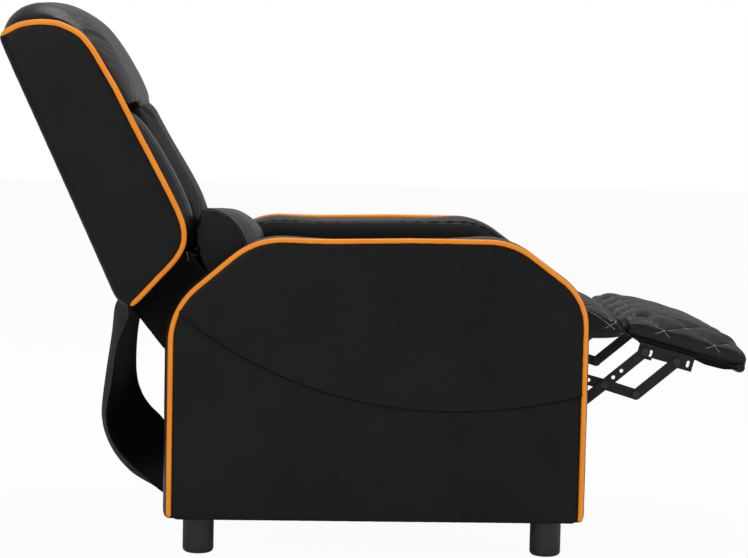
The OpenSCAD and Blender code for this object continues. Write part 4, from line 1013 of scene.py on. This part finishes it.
def back_pad(name, node, y0, y1, crest, power, edge=0.45, most=6, grooves=(), mat=PAD_LEATHER):
    """A cushion on the back's frame; crest is its (up, forward) front line, lower towards both ends."""
    rings = []
    up, forward = np.array(crest, float).T
    for t, s in zip(*slices(1.0, 29)):
        share = edge + (1 - edge) * float(full(t, power))
        y = (y0 + y1) / 2 + s * (y1 - y0) / 2
        front = np.stack([PAD_REAR + (forward - PAD_REAR) * share, up], 1)
        rear = [(PAD_REAR, up[-1]), (PAD_REAR, (up[0] + up[-1]) / 2), (PAD_REAR, up[0])]
        ring = ring_of(np.concatenate([front, rear]), 100, 2)
        rings.append(on_back(ring[:, 0], y, ring[:, 1]))
    piece = lofted(name, rings)
    def held(at):
        local = back_local(at)
        side = (local[:, 2] < min(y0, y1) + 2) | (local[:, 2] > max(y0, y1) - 2)
        return (local[:, 0] < PAD_REAR + 3) | side
    plumped(piece, 5, most, held)
    at, out = coords(piece), normals_of(piece)
    local = back_local(at)
    for groove in grooves:
        at -= out * (1.3 * MM * np.exp(-((local[:, 2] - groove) / 1.7) ** 2) * (local[:, 0] > 125))[:, None]
    set_coords(piece, at)
    return finish(piece, "back", "pad_leather", mat, node)


PILLOW_END = [(178, 305), (165, 287), (156, 270), (151, 252), (147, 215), (147, 180)]
PILLOW_MIDDLE = [(190.6, 290), (184, 276), (173, 257), (152, 256), (144.8, 235), (144.8, 190)]


def build_pillow():
    """The pillow hangs a little lower at the sitter's left and in its middle; its back lies in the hollow."""
    ends, middle = np.array(PILLOW_END, float), np.array(PILLOW_MIDDLE, float)
    rings = []
    for t, y in zip(*slices(240.0, 39)):
        into = min(1, (1 - abs(t)) / 0.35)
        rear, deep, tilt = 178.6 + 12 * into, 80 - 18 * t * t, -4.5 - 13.5 * y / 240
        centre, top, low = 220 + 12 * t * t + tilt, 295 + 14 * t * t + tilt, 160
        curve = []
        for a in np.radians(np.linspace(-90, 90, 23)):
            half = top - centre if a > 0 else centre - low
            reach = max(math.cos(a), 0) ** 0.95
            start = rear + 11 * math.sin(a) if a > 0 else rear + 26 * math.sin(a)
            curve.append((start + (rear + deep - start) * reach, centre + half * math.sin(a)))
        back = ends + (middle - ends) * into
        ring = ring_of(np.concatenate([curve, back]), 96, 1)
        rings.append(on_back(ring[:, 0], y, ring[:, 1]))
    piece = lofted("lumbar_pillow_cover", rings)
    def held(at):
        local = back_local(at)
        seam = np.abs(np.abs(local[:, 2]) - 237) < 4
        return (local[:, 0] < 192.5) | seam
    plumped(piece, 5, 5, held)
    finish(piece, "back", "pad_leather", PAD_LEATHER, "lumbar_pillow")
    tree = surface_tree(piece)
    for side, label in ((-236.0, "right"), (236.0, "left")):
        path = []
        for a in np.radians(np.arange(180, -181, -4)):
            core = on_back(205, side, 240)
            rim = on_back(205 + 150 * math.cos(a), side, 240 + 150 * math.sin(a))
            hit = tree.ray_cast(Vector(rim), Vector(core - rim))[0]
            if hit is not None:
                path.append(back_local(np.array([tuple(hit)]))[0, :2])
        path = even_points(np.array(path), STEP)
        seam = tube("pillow_seam_" + label, on_back, path, -side, 1.3, 8)
        finish(seam, "back", "pad_leather", BLACK_LINING_AND_SHADE)
    return piece


head = build_head()
bolster = back_pad("bolster_cover_right", "bolster_right", -303.4, -150.6, BOLSTER_CREST, 2.4, 0.48,
                   grooves=(-294, -282, -266))
bolster_left = mirrored(bolster, "bolster_cover_left")
finish(bolster_left, "back", "pad_leather", PAD_LEATHER, "bolster_left")
# The middle pad takes the darker side leather: painted shade on its front.
middle = back_pad("middle_pad_cover", "middle_pad", -149.5, 149.5, MIDDLE_CREST, 6, mat=SHADED_SIDE_LEATHER)
lower_pad = back_pad("lower_pad_cover", "lower_pad", -249, 249, LOWER_CREST, 6, most=4)
pillow = build_pillow()


def build_back_cover():
    """The plain cover over the back's frame, and the narrower box below it between the arms."""
    rings = []
    profile = [(-12, 236), (-11, 300), (-8, 430), (-4, 600), (-1, 690), (2, 700), (20, 700.6), (100, 700.6),
               (105, 696), (105, 500), (105, 300), (105, 262), (60, 246), (0, 222), (-10, 222)]
    ring = ring_of(profile, 120, 2)
    for y in np.concatenate([[-304], np.linspace(-303, 303, 61), [304]]):
        edge = np.exp(-(304 - abs(y)) / 12)
        out = ring.copy()
        rear = out[:, 0] < -8
        sag = 2.2 * (1 - edge) * np.sin(np.clip((out[:, 1] - 236) / 465, 0, 1) * math.pi)
        out[rear, 0] -= sag[rear] + 0.5 * waves(out[rear, 1], np.full(rear.sum(), y), 150, 21)
        rings.append(on_back(out[:, 0], y, out[:, 1]))
    upper = lofted("back_shell_cover", rings)
    smooth(upper, 50)
    finish(upper, "back", "panel_leather", SHADED_SIDE_LEATHER, "back_shell")
    rings = []
    profile = [(-15, 258), (-15, 235), (-1, 185), (15, 113), (28.5, 74), (113, 74), (105, 97), (105, 200),
               (105, 258)]
    core = np.array([45.0, 165.0])
    reach = ring_of(profile, 110, 2) - core
    for t, y in zip(*slices(250.0, 41)):
        ring = core + reach * (0.96 + 0.04 * float(full(t, 12)))
        rings.append(on_back(ring[:, 0], y, ring[:, 1]))
    under = lofted("lower_back_cover", rings)
    smooth(under, 50)
    # The near-black lining finish here is painted shade for the crevice behind the seat and under the pillow.
    finish(under, "back", "panel_leather", BLACK_LINING_AND_SHADE, "lower_back")


build_back_cover()

LOWER_SIDE = [(-13, 262), (-13, 235), (-1, 187), (15, 115), (28, 76), (112, 76), (138, 97), (149, 120),
              (151, 210), (147, 222), (141, 240), (137, 257), (136, 264)]


def build_lower_side():
    """The flat leather side of the narrow box, over its bracket, with a row of stitches at its front edge."""
    line = resampled(LOWER_SIDE, closed=True)
    def face(f, u, gap, run):
        return -6.2 * np.exp(-gap / 2.4) * np.clip((u - 90) / 12, 0, 1) + 0.2 * waves(f, u, 90, 41)
    piece = side_panel("lower_side_cover_right", on_back, line, 257.4, (90, 60), face, 1.4, swap=True)
    # Its leather takes the near-black lining finish: painted shade in the slot beside the arm.
    both_sides("back", [(piece, "panel_leather", BLACK_LINING_AND_SHADE)])
    rows = []
    for side in (-1, 1):
        u = np.arange(243, 264, 1.5)
        points = on_back(133.5 + (u - 264) * 0.22, side * 257.7, u)
        rows.append((points, np.tile([0.0, side, 0.0], (len(u), 1))))
    sewn("lower_side_stitches", "back", "panel_leather", rows)


build_lower_side()


# Seat and footrest, quilted in diamonds.
QUILT_LONG, QUILT_WIDE, QUILT_SIDE = 101.4, 84.0, 252.0
SEAT_CROSS = 829.0


def quilt(x, y, x0, deep):
    """Depth of the sewn channels and the domes between them."""
    along, across = (x - x0) / QUILT_LONG, (y - QUILT_SIDE) / QUILT_WIDE
    a, b = (np.abs(np.sin(math.pi * part)) for part in (along + across, along - across))
    channel = np.exp(-(np.minimum(a, b) / 0.07) ** 2)
    return deep * (a ** 0.6 * b ** 0.6 - 1) - 0.5 * deep * channel


def quilt_lines(x_low, x_high, y_reach, x0, step=1.5):
    """The sewing lines of the diamonds as lists of (x, y)."""
    lines = []
    rise = QUILT_WIDE / QUILT_LONG
    for way in (1, -1):
        for k in range(-12, 13):
            x = np.arange(x_low, x_high + step, step)
            y = way * (k * QUILT_WIDE - (x - x0) * rise) + QUILT_SIDE
            inside = np.abs(y) <= y_reach
            if inside.sum() > 8:
                lines.append((x[inside], y[inside]))
    return lines


SEAT_EDGE_SEAMS = [[(640, 470), (720, 473), (760, 468), (786, 458), (808, 445), (829, 430), (840, 421)],
                   [(818, 424), (829, 430), (834, 433), (845, 436)]]


def build_seat():
    rings = []
    for t, y in zip(*slices(256.5, 37)):
        f = float(full(t, 7))
        rise = 11 * (1 - t * t)
        pull = 14 * (1 - f)
        low = 400.4
        top = [(208 + pull, low + 20), (214 + pull, 436 + rise * f), (250, 444 + rise), (330, 447 + rise),
               (430, 453 + rise), (530, 462 + rise), (640, 473 + rise), (720, 477 + rise), (768, 472 + rise),
               (793, 462 + rise), (818, 451 + rise * 0.8), (843, 439 + rise * 0.4), (856 - pull * 0.4, 431.5),
               (858.5 - pull * 0.4, 421), (856 - pull * 0.4, 408)]
        top = [(a, low + (b - low) * (0.84 + 0.16 * f)) for a, b in top]
        profile = top + [(842 - pull, 404.5), (820 - pull, 404), (798, 404), (770, low),
                         (500, low), (300, low), (212 + pull, low)]
        ring = ring_of(profile, 150, 2)
        rings.append(on_chair(ring[:, 0], y, ring[:, 1]))
    piece = lofted("seat_cushion_cover", rings)
    def held(at):
        z = at[:, 2] / MM
        return (z < 402.5) | (np.abs(at[:, 1]) > 0.2535)
    plumped(piece, 6, 7, held)
    at, out = coords(piece), normals_of(piece)
    x = (at[:, 0] - SHIFT) / MM
    deep = quilt(x, at[:, 1] / MM, SEAT_CROSS, 4.0)
    fade = np.clip((out[:, 2] - 0.25) / 0.4, 0, 1) * np.clip((256 - np.abs(at[:, 1] / MM)) / 10, 0, 1)
    at += out * (deep * fade * MM)[:, None]
    set_coords(piece, at)
    finish(piece, "seat", "pad_leather", PAD_LEATHER, "seat_cushion")
    tree = surface_tree(piece)
    runs = []
    for line_x, line_y in quilt_lines(300, 846, 254, SEAT_CROSS):
        runs += draped_line(tree, on_chair(line_x, line_y, np.full(len(line_x), 620.0)), (0, 0, -1))
    for side in (-1, 1):
        for line in SEAT_EDGE_SEAMS:
            x, z = even_points(np.array(line, float), 1.5).T
            runs += draped_line(tree, on_chair(x, np.full(len(x), side * 300.0), z), (0, -side, 0))
    sewn("seat_stitches", "seat", "pad_leather", runs)


REST_START, REST_STOP, REST_BASE, REST_CROSS = -44.0, 197.0, 20.5, 24.2


def build_footrest():
    rings = []
    columns = 71
    for s in np.concatenate([[0, 0.004, 0.012, 0.026, 0.045], np.linspace(0.07, 0.9, 22),
                             [0.92, 0.94, 0.955, 0.968, 0.98, 0.99, 0.997, 1.0]]):
        f = float(full(2 * s - 1, 6))
        x = REST_START + s * (REST_STOP - REST_START)
        t = np.linspace(-1, 1, columns)
        g = full(t * 0.9995, 7)
        y = t * 256.0
        high = 39.8 + (15 - 50 * (s - 0.47) ** 2) * (1 - t ** 4)
        top = REST_BASE + high * (0.14 + 0.86 * f) * (0.4 + 0.6 * g)
        floor = REST_BASE + 1.5 * max(1 - s / 0.05, 0) ** 2
        lean = 12 * (1 - s) ** 6 * np.clip((top - REST_BASE - 14) / 30, 0, 1) ** 1.5
        under_t = np.linspace(1, -1, columns)[1:-1]
        upper = np.stack([x - lean, y * (0.98 + 0.02 * f), top], 1)
        under = np.stack([np.full(columns - 2, x), under_t * 255.4 * (0.98 + 0.02 * f),
                          np.full(columns - 2, floor)], 1)
        ring = np.concatenate([upper, under])
        rings.append(on_rest(ring[:, 0], ring[:, 1], ring[:, 2]))
    piece = lofted("footrest_pad_cover", rings)
    def held(at):
        local = rest_local(at)
        return (local[:, 2] < 23) | (np.abs(local[:, 1]) > 253.5)
    plumped(piece, 4.5, 5, held)
    at, out = coords(piece), normals_of(piece)
    local = rest_local(at)
    up = (on_rest(0, 0, 1) - on_rest(0, 0, 0)) / MM
    deep = quilt(local[:, 0], local[:, 1], REST_CROSS, 3.6)
    fade = np.clip((out @ up - 0.2) / 0.4, 0, 1)
    fade *= np.clip((255 - np.abs(local[:, 1])) / 8, 0, 1)
    at += out * (deep * fade * MM)[:, None]
    set_coords(piece, at)
    finish(piece, "footrest", "pad_leather", PAD_LEATHER, "footrest_pad")
    tree = surface_tree(piece)
    runs = []
    down = tuple(-up)
    for line_x, line_y in quilt_lines(-43, 198, 253.5, REST_CROSS):
        runs += draped_line(tree, on_rest(line_x, line_y, np.full(len(line_x), 140.0)), down)
    run = np.arange(0, 15.1, 1.5)
    for side in (-1, 1):
        for k in range(-1, 2):
            for way in (-1, 1):
                x = REST_CROSS + k * QUILT_LONG + way * run
                keep = (x > REST_START + 3) & (x < REST_STOP - 6)
                spot = on_rest(REST_CROSS + k * QUILT_LONG, side * 252.0, 140.0)
                hit = tree.ray_cast(Vector(spot), Vector(down))[0]
                if hit is None or keep.sum() < 5:
                    continue
                top = rest_local(np.array([tuple(hit)]))[0, 2] - 1
                start = on_rest(x[keep], np.full(keep.sum(), side * 300.0), top - 9.5 * run[keep] / 15)
                runs += draped_line(tree, start, (0, -side, 0))
    sewn("footrest_stitches", "footrest", "pad_leather", runs)
    build_rest_board()


REST_SAG = [(-33, 19.6), (-28, 18.5), (-20, 15.5), (-5, 12), (40, 11), (96, 9.5), (117, 6.8), (137, 5.6),
            (156, 7.6), (172, 11), (183, 14)]


def build_rest_board():
    """The lining that wraps the board and sags under it, the welt over it and the rolled front lip."""
    rings = []
    for x in np.linspace(-33, 183, 55):
        low = np.interp(x, *np.array(REST_SAG).T) + 0.5 * math.sin(x / 7 + math.sin(x / 19))
        side = np.linspace(-1, 1, 31)
        under = low + 1.6 * np.abs(side) ** 8
        ring = [(y * 250.8, h) for y, h in zip(side, under)]
        ring += [(251.2, 17.5), (250.8, 26), (0, 27), (-250.8, 26), (-251.2, 17.5)]
        ring = counted_points(np.array(ring + ring[:1]), 96, closed=True)
        rings.append(on_rest(np.full(96, x), ring[:, 0], ring[:, 1]))
    board = lofted("footrest_board_lining", rings)
    smooth(board, 50)
    finish(board, "footrest", "pad_leather", BLACK_LINING_AND_SHADE, "footrest_board")
    rings = []
    for t, y in zip(*slices(254.6, 45)):
        r = 11.6 * float(full(t, 9)) + 0.25 * math.sin(y / 13 + 1.4 * math.sin(y / 37))
        ang = np.linspace(0, 2 * math.pi, 29)[:-1]
        rings.append(on_rest(187.4 + r * np.cos(ang), np.full(28, y), 20.6 + r * np.sin(ang)))
    lip = lofted("footrest_lip", rings)
    smooth(lip)
    finish(lip, "footrest", "pad_leather", PAD_LEATHER)
    line = rounded([(-42, -255), (184, -255), (184, 255), (-42, 255)], [9, 2, 2, 9])
    line = np.roll(line, -int(np.argmax(line[:, 0] - 0.001 * np.abs(line[:, 1]))), 0)
    flat = lambda a, b, c: on_rest(a, c, -np.asarray(b))
    welt = tube("footrest_welt", flat, np.concatenate([line, line[:1]]), 20.6, 1.5, 8)
    finish(welt, "footrest", "pad_leather", SHADED_SIDE_LEATHER)


build_seat()
build_footrest()

# Hanging rear flap.
FLAP_MIDDLE = [(-98.8, 469.5), (-112, 455), (-124, 436), (-128, 386), (-136, 325), (-143, 264), (-146, 229),
               (-144, 200), (-136, 171), (-126, 150), (-111, 128), (-86, 104), (-58, 90), (-30, 84), (-5, 86)]
FLAP_NEAR = [(-80, 461), (-77, 443), (-89, 413), (-102, 385), (-109, 360), (-114, 326), (-119, 297),
             (-125, 266), (-127, 240), (-121, 211), (-111, 191), (-97, 171), (-73, 147), (-46, 124),
             (-26, 104), (-5, 88)]
FLAP_FAR = [(-81, 461), (-78, 443), (-86, 413), (-91, 385), (-95, 355), (-97, 326), (-97.5, 296),
            (-96, 266), (-91, 240), (-80, 213), (-64, 190), (-42, 169), (-26, 145), (-14, 118), (-5, 88)]
FLAP_HALF = [(88, 246), (350, 246), (362, 250), (385, 268), (413, 298), (443, 334), (461, 342)]


def build_flap():
    """The flap hangs in a bow; its top corners spread under the wings and its left edge hangs tighter."""
    columns, rows = 72, 84
    centre, near, far = (counted_points(resampled(line), rows)
                         for line in (FLAP_MIDDLE, FLAP_NEAR, FLAP_FAR))
    def surface(i, j):
        t = 2 * i / columns - 1
        bow = (1 - np.abs(t) ** 2.2)[:, None]
        edge = np.where(t[:, None] < 0, near[j], far[j])
        spot = edge * (1 - bow) + centre[j] * bow
        half = np.interp(spot[:, 1], *np.array(FLAP_HALF, float).T)
        ripple = 2.2 * np.sin(j / rows * math.pi) * waves(t * 246, j / rows * 430, 170, 31)
        hem = 0.8 * np.exp(-((1 - np.abs(t)) * half - 9) ** 2 / 8)
        return on_chair(spot[:, 0] - ripple - hem, t * half, spot[:, 1])
    piece = cloth_grid("rear_flap_sheet", columns, rows, surface)
    face_out(piece, (-1, 0, 0))
    shelled(piece, 1.4)
    # The flap's leather takes the near-black lining finish: painted shade.
    finish(piece, None, "pad_leather", BLACK_LINING_AND_SHADE, "rear_flap")
    top, bottom = on_chair(-98.8, 0, 469.5), on_chair(-5, 0, 86)
    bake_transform(piece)


build_flap()

# Finishes of the frame's own solids.
FINISHES = {"black_steel": BLACK_STEEL, "zinc_steel": ZINC_STEEL, "frame_wood": FRAME_WOOD,
            "webbing": WOVEN_BELT, "foot_plastic": FOOT_PLASTIC}
for part in frame["record"]["subparts"]:
    mat = FINISHES.get(part["material_slot"])
    node = frame["nodes"].get(part["node"])
    if mat is None or node is None:
        continue
    for place in node.material_slots:
        place.material = mat
    if not node.material_slots:
        node.data.materials.append(mat)
